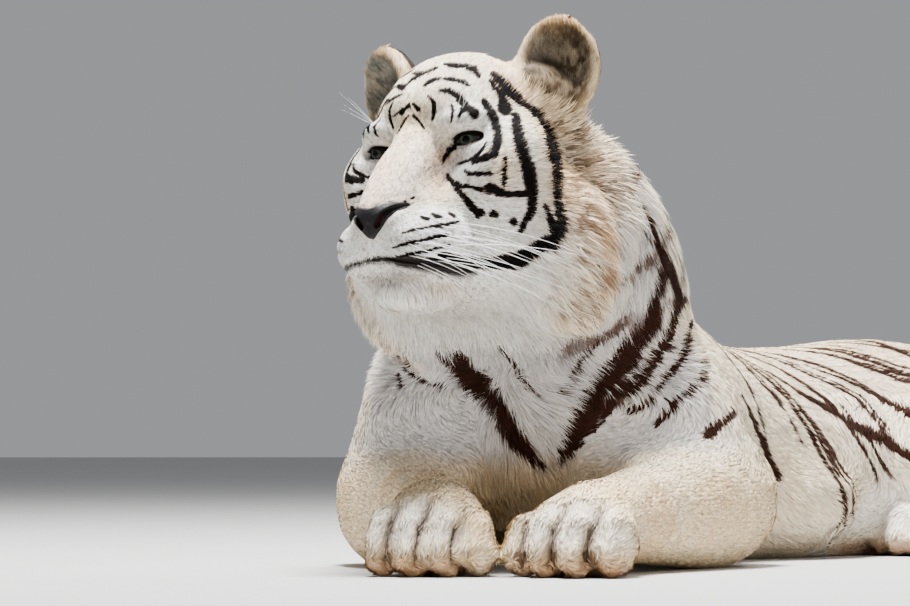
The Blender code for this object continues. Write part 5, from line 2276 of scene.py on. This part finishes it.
@dataclass
class NosePad:
    """Bare nose leather over the muzzle's tip, with nostrils and a groove down its middle."""

    skin: Skin
    rings: int = 44
    columns: int = 132
    leather: Array = dye(14, 12, 14)
    worn: Array = dye(27, 22, 25)
    low: Array = dye(40, 28, 30)
    nostril: Array = dye(56, 22, 22)
    # near black: painted shade deep in the nostrils
    black: Array = dye(4, 2, 2)

    def build(self) -> bpy.types.Object:
        """Makes the pad.

        Seen from in front it is a grid of rings, each the nose's outline at a share of its
        size. Its height is the skin's own, found by rays, plus a rise that drops at the edge
        and rolls over along the top. Nostrils and groove are soft steps pressed into it. A
        last ring behind the edge closes it at the back.

        Returns:
            The finished piece.
        """
        head = self.skin.body.bearings.head
        outline = NoseOutline()
        share = np.linspace(0.02, 1.0, self.rings) ** 0.85
        turn = circle(self.columns)
        r, a = np.meshgrid(share, turn, indexing="ij")
        out = (r * outline.reach(turn)[None, :])[..., None]
        plane = np.array(outline.middle) * MM + out * np.stack([np.cos(a), np.sin(a)], axis=-1)
        plane = plane.reshape(-1, 2)
        heights = ray_heights(self.skin.whole_tree, head, plane, 0.25).reshape(r.shape)
        heights = evened_ring(heights, 3, axis=1)
        top = smooth(plane[:, 1], -0.090, -0.076)
        inward = 1.0 - r.ravel()
        rise = (-1.4 + 3.9 * smooth(inward, 0.0, 0.17) + 1.4 * top * smooth(inward, 0.0, 0.10)) * MM
        opening = outline.opening(plane)
        groove = np.exp(-((plane[:, 0] / (1.5 * MM)) ** 2)) * smooth(plane[:, 1], -0.092, -0.100)
        rim = np.exp(-(((opening - 0.05) / 0.12) ** 2)) * (opening > 0.0)
        height = heights.ravel() + rise - (9.5 * opening + 1.5 * groove - 0.5 * rim) * MM
        local = np.stack([plane[:, 0], height, plane[:, 1]], axis=1)
        behind = local[-self.columns:] - (0.0, 0.006, 0.0)
        points = head.world(np.vstack([local, behind]))
        quads = grid_faces(self.rings + 1, self.columns, ring=True)
        low = smooth(plane[:, 1], -0.082, -0.092)
        leather = np.tile(self.leather, (len(plane), 1))
        for tone, share in (
            (self.worn, 0.5 + 0.5 * noise(local, 0.006, 6)),
            (self.low, smooth(plane[:, 1], -0.098, -0.112) * 0.6),
            (self.nostril, smooth(opening, 0.15, 0.55) * low),
            # painted shade deep in the nostril openings
            (self.black, smooth(opening, 0.05, 0.45) * (1.0 - 0.75 * low)),
        ):
            leather = blend(leather, tone, share)
        return closed_piece("nose_pad", points, quads, np.vstack([leather, leather[-self.columns:]]))


@dataclass
class Lips:
    """The dark lining between the lips, and the line from the nose down to them."""

    skin: Skin
    sides: int = 10
    profile: tuple[tuple[float, float], ...] = (
        (-0.06, -3.0), (-0.02, -0.6), (0.10, -0.2), (0.22, -2.0), (0.34, -5.6), (0.48, -7.0), (0.60, -4.6),
        (0.72, -1.4), (0.84, -0.2), (0.95, -0.4), (1.03, -1.4), (1.07, -3.2), (0.80, -9.0), (0.48, -10.5),
        (0.18, -8.8),
    )

    def seam(self, path: Array, width: float) -> tuple[Array, Array]:
        """A closed tube along a path in the head's axes, flattened along the way the head faces.

        Args:
            path: Rows of left, forward and up.
            width: Its half width.

        Returns:
            Points in the head's axes, and quads.
        """
        heading = unit(np.gradient(path, axis=0))
        forward = np.tile((0.0, 1.0, 0.0), (len(path), 1))
        out = unit(forward - heading * np.sum(forward * heading, axis=1)[:, None])
        rise = np.cross(heading, out)
        return tubes(path[None], np.full((1, len(path)), width), 0.8 * out[None], rise[None], self.sides)

    def build(self) -> bpy.types.Object:
        """Makes the mouth's lining and the line under the nose.

        The lining is a closed profile carried along the lips: from the upper edge into the
        cleft, out over the lower lip's roll to the lower edge, and back behind. Its points
        are shares of the way from edge to edge, and depths that shrink to the corners.

        Returns:
            The finished piece.
        """
        upper, lower = self.skin.lips
        middle = (upper + lower) / 2.0
        ahead = np.maximum(middle[:, 1] - 0.060, 0.0)
        out = unit(np.stack([middle[:, 0], ahead, np.zeros(len(middle))], axis=1))
        deep = smooth(np.linalg.norm(upper - lower, axis=1) / 2.0, 0.5 * MM, 4.5 * MM)
        shares, depths = np.array(self.profile).T
        rings = upper[:, None, :] + (lower - upper)[:, None, :] * shares[None, :, None]
        rings = rings + out[:, None, :] * (depths[None, :] * (0.15 + 0.85 * deep[:, None]) * MM)[:, :, None]
        mouth = rings.reshape(-1, 3), grid_faces(len(upper), len(shares), ring=True)
        end = upper[len(upper) // 2]
        top = np.array((0.0, end[1] + 0.004, -0.113))
        drop = top + (end - top) * np.linspace(0.0, 1.0, 12)[:, None]
        drop[:, 1] -= 2.6 * MM
        local, quads = joined([mouth, self.seam(drop, 1.5 * MM)])
        return closed_piece("lips", self.skin.body.bearings.head.world(local), quads)


@dataclass
class Whiskers:
    """White whiskers in rows on the muzzle, and a few over each eye."""

    skin: Skin
    tree: BVHTree
    rings: int = 12
    sides: int = 4
    rows: tuple[tuple[float, float, float, float, int], ...] = (
        (-6, -93, 40, -86, 6),
        (-14, -108, 36, -99, 8),
        (-14, -121, 32, -111, 8),
        (-8, -131, 26, -124, 6),
    )  # where each row starts and ends on the head's chart, in millimetres, and how many it has
    brow_lengths: tuple[float, ...] = (0.06, 0.07, 0.055, 0.05)
    thick: float = 0.58 * MM  # radius at the root
    brow_thick: float = 0.28 * MM
    seed: int = 404

    def roots(self) -> tuple[Array, Array]:
        """Finds the whiskers' roots on the skin, by rays along the chart's view.

        Returns:
            The roots in the head's axes, and each one's place along its row from 0 to 1.
        """
        head = self.skin.body.bearings.head
        across, up, away = self.skin.pelt.markings.head_plane()
        found, shares = [], []
        for x0, y0, x1, y1, count in self.rows:
            for share in np.linspace(0.0, 1.0, count):
                place = np.array((x0 + (x1 - x0) * share, y0 + (y1 - y0) * share)) * MM
                start = head.origin + across * place[0] + up * place[1] + away * 0.6
                hit = self.tree.ray_cast(Vector(start), Vector(-away), 1.0)
                if hit[0] is None:
                    continue
                local = head.local(np.array(hit[0]))
                if local[0] > 0.008:
                    found.append(local)
                    shares.append(share)
        return np.array(found), np.array(shares)

    def strands(self, root: Array, heading: Array, length: Array, fall: Array, thick: float) -> Any:
        """Whiskers as tapered tubes.

        A whisker runs straight out by its length times t, and falls by a share of its
        length times t squared. Its radius shrinks from the root to the tip.

        Args:
            root: Rows of left, forward and up.
            heading: The direction in which each starts.
            length: How long each is.
            fall: How far each tip drops, as a share of the length.
            thick: Radius at the root.

        Returns:
            Points in the head's axes and quads.
        """
        t = np.linspace(0.0, 1.0, self.rings)
        down = np.array((0.0, -0.55, -0.83))
        path = root[:, None, :] + (heading * length[:, None])[:, None, :] * t[:, None]
        path = path + down * (fall * length)[:, None, None] * t[:, None] ** 2
        aside = unit(np.cross(heading, down))
        rise = unit(np.cross(aside, heading))
        return tubes(path, thick * (1.0 - 0.88 * t)[None], aside[:, None], rise[:, None], self.sides)

    def build(self) -> bpy.types.Object:
        """Makes all whiskers.

        Returns:
            The finished piece.
        """
        draw = np.random.default_rng(self.seed)
        places, shares = self.roots()
        count = len(places)
        parts = []
        for side in (1.0, -1.0):
            spread = (shares - 0.5)[:, None] * np.array((0.10 * side, -0.45, 0.0))
            sweep = np.array((0.80, -0.30, -0.20) if side > 0 else (-0.30, -0.95, -0.12))
            heading = unit(sweep + spread + 0.11 * draw.normal(size=(count, 3)))
            length = 0.095 + 0.080 * shares + 0.020 * draw.normal(size=count).clip(-1.5, 1.5)
            fall = 0.20 + 0.20 * draw.random(count)
            parts.append(self.strands(places * (side, 1.0, 1.0), heading, length, fall, self.thick))
            length = np.array(self.brow_lengths)
            row = np.arange(len(length))[:, None]
            brow = (np.array((0.052, 0.004, 0.026)) + row * (0.003, -0.003, 0.002)) * (side, 1.0, 1.0)
            heading = unit(np.array((0.55 * side, 0.30, 0.75)) + 0.16 * draw.normal(size=brow.shape))
            parts.append(self.strands(brow, heading, length, np.full(len(length), 0.10), self.brow_thick))
        local, quads = joined(parts)
        return closed_piece("whiskers", self.skin.body.bearings.head.world(local), quads)


@dataclass
class Claws:
    """Drawn-in claws: only the curved tips show between the toes' hair."""

    skin: Skin
    tree: BVHTree
    rings: int = 9
    sides: int = 10
    length: float = 0.020
    thick: float = 0.0036
    sunk: float = 0.008  # how much of the length lies in the toe
    hook: float = 0.009  # how far the tip turns down
    shares: tuple[float, ...] = (-0.70, -0.24, 0.24, 0.70)  # the toes' places across the paw's half width
    half_paw: float = 0.052
    fan: float = 0.30  # how far the toes spread
    height: float = 0.026  # the claws' height over the floor

    def toes(self, paw: str, heading: Array) -> list[tuple[Array, Array]]:
        """Where the four claws of a paw leave it.

        Rays come back onto the toes from ahead, at four places across the paw.

        Args:
            paw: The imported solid's name.
            heading: The paw's direction over the floor.

        Returns:
            A place on the skin and the claw's direction for each toe found.
        """
        low, high = box_of(paw)
        middle = (low + high) / 2.0
        aside = np.array((-heading[1], heading[0], 0.0))
        found = []
        for share in self.shares:
            ahead = unit(heading + aside * share * self.fan)
            start = middle + aside * share * self.half_paw + ahead * 0.20
            start[2] = self.height
            hit = self.tree.ray_cast(Vector(start), Vector(-ahead), 0.3)
            if hit[0] is not None:
                found.append((np.array(hit[0]), ahead))
        return found

    def build(self) -> bpy.types.Object:
        """Makes all claws.

        A claw is a flattened horn along an arc: the radius shrinks with the square root of
        what is left of its length.

        Returns:
            The finished piece.
        """
        down = np.array((0.0, 0.0, -1.0))
        t = np.linspace(0.0, 1.0, self.rings)[:, None]
        radius = self.thick * np.sqrt(np.maximum(1.0 - t, 0.004))
        parts = []
        for paw, heading in self.skin.paws():
            for place, ahead in self.toes(paw, heading):
                path = place + ahead * (self.length * t - self.sunk) + down * (self.hook * t**2 - 0.003 * t)
                path[:, 2] = np.maximum(path[:, 2], 0.004)
                aside = 0.55 * np.array((-ahead[1], ahead[0], 0.0))
                parts.append(tubes(path[None], radius.T, aside[None, None], -down[None, None], self.sides))
        points, quads = joined(parts)
        return closed_piece("claws", points, quads)


# ---------------------------------------------------------------- shader maths
@dataclass(frozen=True)
class Wire:
    """A number's socket, on which sums and products add their nodes."""

    graph: "Graph"
    socket: bpy.types.NodeSocket

    def __add__(self, other: "Wire | float") -> "Wire":
        """The sum."""
        return self.graph.math("ADD", self, other)

    def __radd__(self, other: float) -> "Wire":
        """The sum, from the right."""
        return self.graph.math("ADD", other, self)

    def __sub__(self, other: "Wire | float") -> "Wire":
        """The difference."""
        return self.graph.math("SUBTRACT", self, other)

    def __rsub__(self, other: float) -> "Wire":
        """The difference, from the right."""
        return self.graph.math("SUBTRACT", other, self)

    def __mul__(self, other: "Wire | float") -> "Wire":
        """The product."""
        return self.graph.math("MULTIPLY", self, other)

    def __rmul__(self, other: float) -> "Wire":
        """The product, from the right."""
        return self.graph.math("MULTIPLY", other, self)


class Graph:
    """A material's nodes, round one Principled shader."""

    def __init__(self, name: str) -> None:
        """Starts an empty material.

        Args:
            name: The material's name.
        """
        self.material = bpy.data.materials.new(name)
        self.material.use_nodes = True
        self.nodes = self.material.node_tree.nodes
        self.links = self.material.node_tree.links
        self.shader = self.nodes["Principled BSDF"]

    def feed(self, socket: bpy.types.NodeSocket, value: Any) -> None:
        """Sets a socket, or links it.

        Args:
            socket: The input.
            value: A number, a tuple, a wire or an output socket.
        """
        if isinstance(value, Wire):
            value = value.socket
        if isinstance(value, bpy.types.NodeSocket):
            self.links.new(value, socket)
        else:
            socket.default_value = value

    def node(self, kind: str, settings: dict[str, Any], inputs: dict[Any, Any]) -> bpy.types.Node:
        """Adds any node.

        Args:
            kind: The node's type.
            settings: Its properties, set first.
            inputs: Values or links for its sockets, by name or number.

        Returns:
            The node.
        """
        made = self.nodes.new(kind)
        for key, value in settings.items():
            setattr(made, key, value)
        for key, value in inputs.items():
            self.feed(made.inputs[key], value)
        return made

    def math(self, operation: str, first: Any, second: Any) -> Wire:
        """Adds a Math node of two wires or numbers, and gives its result."""
        made = self.node("ShaderNodeMath", {"operation": operation}, {0: first, 1: second})
        return Wire(self, made.outputs[0])

    def attribute(self, name: str) -> bpy.types.NodeSocket:
        """The colour of one of the piece's attributes."""
        return self.node("ShaderNodeAttribute", {"attribute_name": name}, {}).outputs["Color"]

    def place(self) -> bpy.types.NodeSocket:
        """Object coordinates."""
        return self.node("ShaderNodeTexCoord", {}, {}).outputs["Object"]

    def noise(self, scale: float, detail: float, rough: float = 0.5) -> Wire:
        """Noise about 0.5 over Object coordinates: cells to the metre, finer layers, their strength."""
        inputs = {"Vector": self.place(), "Scale": scale, "Detail": detail, "Roughness": rough}
        return Wire(self, self.node("ShaderNodeTexNoise", {}, inputs).outputs["Fac"])

    def tinted(self, colour: Any, other: Any, share: Any, blend_type: str = "MIX") -> bpy.types.NodeSocket:
        """Two colours mixed.

        Args:
            colour: The first, a link or a colour.
            other: The second.
            share: How much of the second.
            blend_type: How they are mixed.

        Returns:
            The result.
        """
        made = self.node("ShaderNodeMix", {"data_type": "RGBA", "blend_type": blend_type}, {})
        for key, value in ((0, share), (6, colour), (7, other)):
            self.feed(made.inputs[key], value)
        return made.outputs[2]

    def bump(self, height: Wire, strength: float, distance: float) -> None:
        """Feeds the shader's Normal from a Bump node: a height, its strength, and its scale in metres."""
        made = self.node("ShaderNodeBump", {}, {"Height": height, "Strength": strength, "Distance": distance})
        self.feed(self.shader.inputs["Normal"], made.outputs["Normal"])

    def put(self, **values: Any) -> bpy.types.Material:
        """Feeds the shader's sockets.

        Args:
            values: Each socket's name, with _ for a space, and its value.

        Returns:
            The finished material.
        """
        for key, value in values.items():
            self.feed(self.shader.inputs[key.replace("_", " ")], value)
        return self.material


@dataclass(frozen=True)
class PeltFinish:
    """Fur: matt and a little downy, with grain and fine hair in the bump."""

    name: str = "pelt"
    sheen: float = 0.01
    bump_height: float = 0.0009

    def material(self) -> bpy.types.Material:
        """Makes the material.

        Returns:
            The material.
        """
        graph = Graph(self.name)
        fine = graph.noise(1500.0, 2.0)
        broad = graph.noise(160.0, 3.0)
        dusk = graph.tinted(graph.attribute("pelt"), (0.74, 0.71, 0.67, 1.0), 0.22 * fine, "MULTIPLY")
        colour = graph.tinted(dusk, (1.0, 0.97, 0.92, 1.0), 0.35 * broad, "MULTIPLY")
        graph.bump(fine + 0.5 * broad, 0.35, self.bump_height)
        return graph.put(
            Base_Color=colour,
            Roughness=0.62 + 0.25 * broad,
            Specular_IOR_Level=0.07,
            Sheen_Weight=self.sheen,
            Sheen_Roughness=0.45,
        )


@dataclass(frozen=True)
class NoseFinish:
    """Nose leather: pebbled and slightly moist."""

    name: str = "nose_leather"

    def material(self) -> bpy.types.Material:
        """Makes the material.

        Returns:
            The material.
        """
        graph = Graph(self.name)
        inputs = {"Vector": graph.place(), "Scale": 620.0}
        cells = Wire(graph, graph.node("ShaderNodeTexVoronoi", {}, inputs).outputs["Distance"])
        mottled = graph.noise(260.0, 4.0, 0.6)
        colour = graph.tinted(graph.attribute("pelt"), (0.62, 0.55, 0.58, 1.0), 0.5 * mottled, "MULTIPLY")
        graph.bump(mottled - 0.8 * cells, 0.45, 0.0009)
        return graph.put(Base_Color=colour, Roughness=0.46 + 0.22 * mottled, Specular_IOR_Level=0.20)


@dataclass(frozen=True)
class MottledFinish:
    """A finish that goes from one colour to another by soft noise, which also roughens it."""

    name: str
    first: tuple[float, float, float] | None  # without it the second darkens the piece's own colours
    second: tuple[float, float, float]
    cells: float  # of the noise, to the metre
    detail: float
    roughness: tuple[float, float]  # the least, and what the noise adds
    strength: float = 0.5  # how strong the noise's finer layers are
    share: float = 1.0  # how much of the second colour the noise brings
    relief: float = 0.0  # the bump's height in metres
    shine: tuple[tuple[str, float], ...] = ()  # the shader's other sockets

    def material(self) -> bpy.types.Material:
        """Makes the material.

        Returns:
            The finished material.
        """
        graph = Graph(self.name)
        spots = graph.noise(self.cells, self.detail, self.strength)
        if self.first is None:
            own = graph.attribute("pelt")
            colour = graph.tinted(own, (*self.second, 1.0), self.share * spots, "MULTIPLY")
        else:
            colour = graph.tinted((*self.first, 1.0), (*self.second, 1.0), spots)
        if self.relief:
            graph.bump(spots, 0.3, self.relief)
        least, more = self.roughness
        return graph.put(Base_Color=colour, Roughness=least + more * spots, **dict(self.shine))


WET_EYE = MottledFinish(
    "eye", None, (0.72, 0.74, 0.70), 900.0, 3.0, (0.22, 0.06), 0.6, 0.6,
    shine=(("Specular_IOR_Level", 0.06), ("Coat_Weight", 0.5), ("Coat_Roughness", 0.03), ("Coat_IOR", 1.28)),
)
LIP_SKIN = MottledFinish(
    "lip_skin", (0.004, 0.003, 0.003), (0.014, 0.009, 0.008), 300.0, 3.0, (0.45, 0.2), relief=0.0005,
    shine=(("Specular_IOR_Level", 0.2),),
)
WHISKER = MottledFinish("whisker", (0.93, 0.92, 0.89), (0.74, 0.71, 0.66), 120.0, 2.0, (0.30, 0.15))
CLAW_HORN = MottledFinish(
    "claw_horn", (0.42, 0.33, 0.24), (0.15, 0.11, 0.085), 420.0, 4.0, (0.30, 0.2), 0.6, relief=0.0004
)
PALE_FLOOR = MottledFinish("floor", (0.44, 0.436, 0.425), (0.49, 0.485, 0.475), 6.0, 4.0, (0.72, 0.1))


def dress(piece: bpy.types.Object, material: bpy.types.Material) -> None:
    """Gives a piece its material and its body.

    Args:
        piece: The piece.
        material: Its material.
    """
    piece.data.materials.clear()
    piece.data.materials.append(material)
    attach(piece, "root")


# ---------------------------------------------------------------- the studio
@dataclass(frozen=True)
class Lamp:
    """A soft square light: where it stands, where it points, its side in metres and its watts."""

    name: str
    place: tuple[float, float, float]
    aim: tuple[float, float, float]
    size: float
    power: float


LAMPS = (
    Lamp("key", (-0.5, -0.5, 3.3), (0.0, -0.1, 0.3), 1.0, 640.0),
    Lamp("fill", (1.8, -3.2, 1.4), (0.0, -0.2, 0.4), 2.2, 26.0),
    Lamp("rear", (0.9, 2.4, 2.8), (0.1, 0.2, 0.3), 1.6, 70.0),
)


@dataclass(frozen=True)
class Studio:
    """Floor, soft light and the camera."""

    home: Array
    azimuth: float = math.radians(8.0)
    distance: float = 4.5
    height: float = 0.150
    look_left: float = math.radians(1.378)
    look_up: float = math.radians(2.113)
    lens: float = 148.0
    sky: tuple[float, float, float, float] = (0.93, 0.95, 1.0, 1.0)
    sky_strength: float = 0.36
    floor_radius: float = 30.0
    floor_rings: int = 12
    floor_sides: int = 96

    def floor(self) -> None:
        """A round floor, wide enough to fill the view: rings of points round the middle."""
        radii, turn = np.linspace(0.0, self.floor_radius, self.floor_rings)[1:], circle(self.floor_sides)
        r, a = np.meshgrid(radii, turn, indexing="ij")
        points = np.stack([r * np.cos(a), r * np.sin(a), np.zeros_like(r)], axis=-1).reshape(-1, 3)
        quads = split_quads(grid_faces(len(radii), len(turn), ring=True, offset=1)[:, ::-1])
        first = np.arange(len(turn))
        fan = np.stack([np.zeros_like(first), first + 1, (first + 1) % len(turn) + 1], axis=1)
        points = np.vstack([np.zeros((1, 3)), points])
        made = mesh_object("studio_floor", points, np.concatenate([fan, quads]))
        made.data.materials.append(PALE_FLOOR.material())

    @staticmethod
    def light(lamp: Lamp) -> None:
        """Hangs one lamp, turned to its aim.

        Args:
            lamp: The lamp.
        """
        area = bpy.data.lights.new(lamp.name, "AREA")
        area.size, area.energy = lamp.size, lamp.power
        made = bpy.data.objects.new(lamp.name, area)
        bpy.context.scene.collection.objects.link(made)
        made.location = lamp.place
        made.rotation_euler = (Vector(lamp.aim) - Vector(lamp.place)).to_track_quat("-Z", "Y").to_euler()

    def world(self) -> None:
        """Even pale surroundings."""
        world = bpy.data.worlds.new("studio")
        world.use_nodes = True
        sky = world.node_tree.nodes["Background"]
        sky.inputs["Color"].default_value = self.sky
        sky.inputs["Strength"].default_value = self.sky_strength
        bpy.context.scene.world = world

    def camera(self) -> None:
        """The camera, a little to the animal's left and low, looking slightly up."""
        around = np.array((math.sin(self.azimuth), -math.cos(self.azimuth), 0.0))
        place = self.home + around * self.distance + (0.0, 0.0, self.height)
        turn, level = self.azimuth + self.look_left, math.cos(self.look_up)
        view = Vector((-math.sin(turn) * level, math.cos(turn) * level, math.sin(self.look_up)))
        lens = bpy.data.cameras.new("camera")
        lens.lens, lens.sensor_width = self.lens, 36.0
        lens.clip_end = 100.0
        made = bpy.data.objects.new("camera", lens)
        bpy.context.scene.collection.objects.link(made)
        made.location = place
        made.rotation_euler = view.to_track_quat("-Z", "Y").to_euler()
        bpy.context.scene.camera = made

    def build(self) -> None:
        """Sets up the whole studio."""
        self.floor()
        self.world()
        for lamp in LAMPS:
            self.light(lamp)
        self.camera()


# ---------------------------------------------------------------- the whole
def main() -> None:
    """Builds the animal from the skin outwards, then the studio."""
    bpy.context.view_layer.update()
    bearings = Bearings.found()
    body = Body(bearings)
    pelt = Pelt(body, Markings(bearings))
    skin = Skin(body, pelt)
    surface = skin.build()
    fur = PeltFinish().material()
    hide = mesh_object("skin", surface.points, surface.triangles, skin.colours())
    dress(hide, fur)
    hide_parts(*(name for name in skin.flesh() if name != "nose"))
    log.info("skin: %d triangles", len(surface.triangles))
    tree = surface.tree()
    for seat, name in zip(skin.seats, ("left", "right")):
        eye = Eyeball(seat).build(f"eyeball_{name}")
        dress(eye, WET_EYE.material())
        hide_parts(f"eye_{name}")
        log.info("%s eyeball", name)
    nose = NosePad(skin).build()
    dress(nose, NoseFinish().material())
    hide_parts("nose")
    log.info("nose pad: %d faces", len(nose.data.polygons))
    dress(Lips(skin).build(), LIP_SKIN.material())
    dress(Whiskers(skin, tree).build(), WHISKER.material())
    dress(Claws(skin, tree).build(), CLAW_HORN.material())
    log.info("lips, whiskers and claws")
    Coat(skin, pelt).build(fur)
    Studio(bearings.home).build()


if __name__ == "__main__":
    logging.basicConfig(level=logging.INFO, format="%(message)s")
    main()
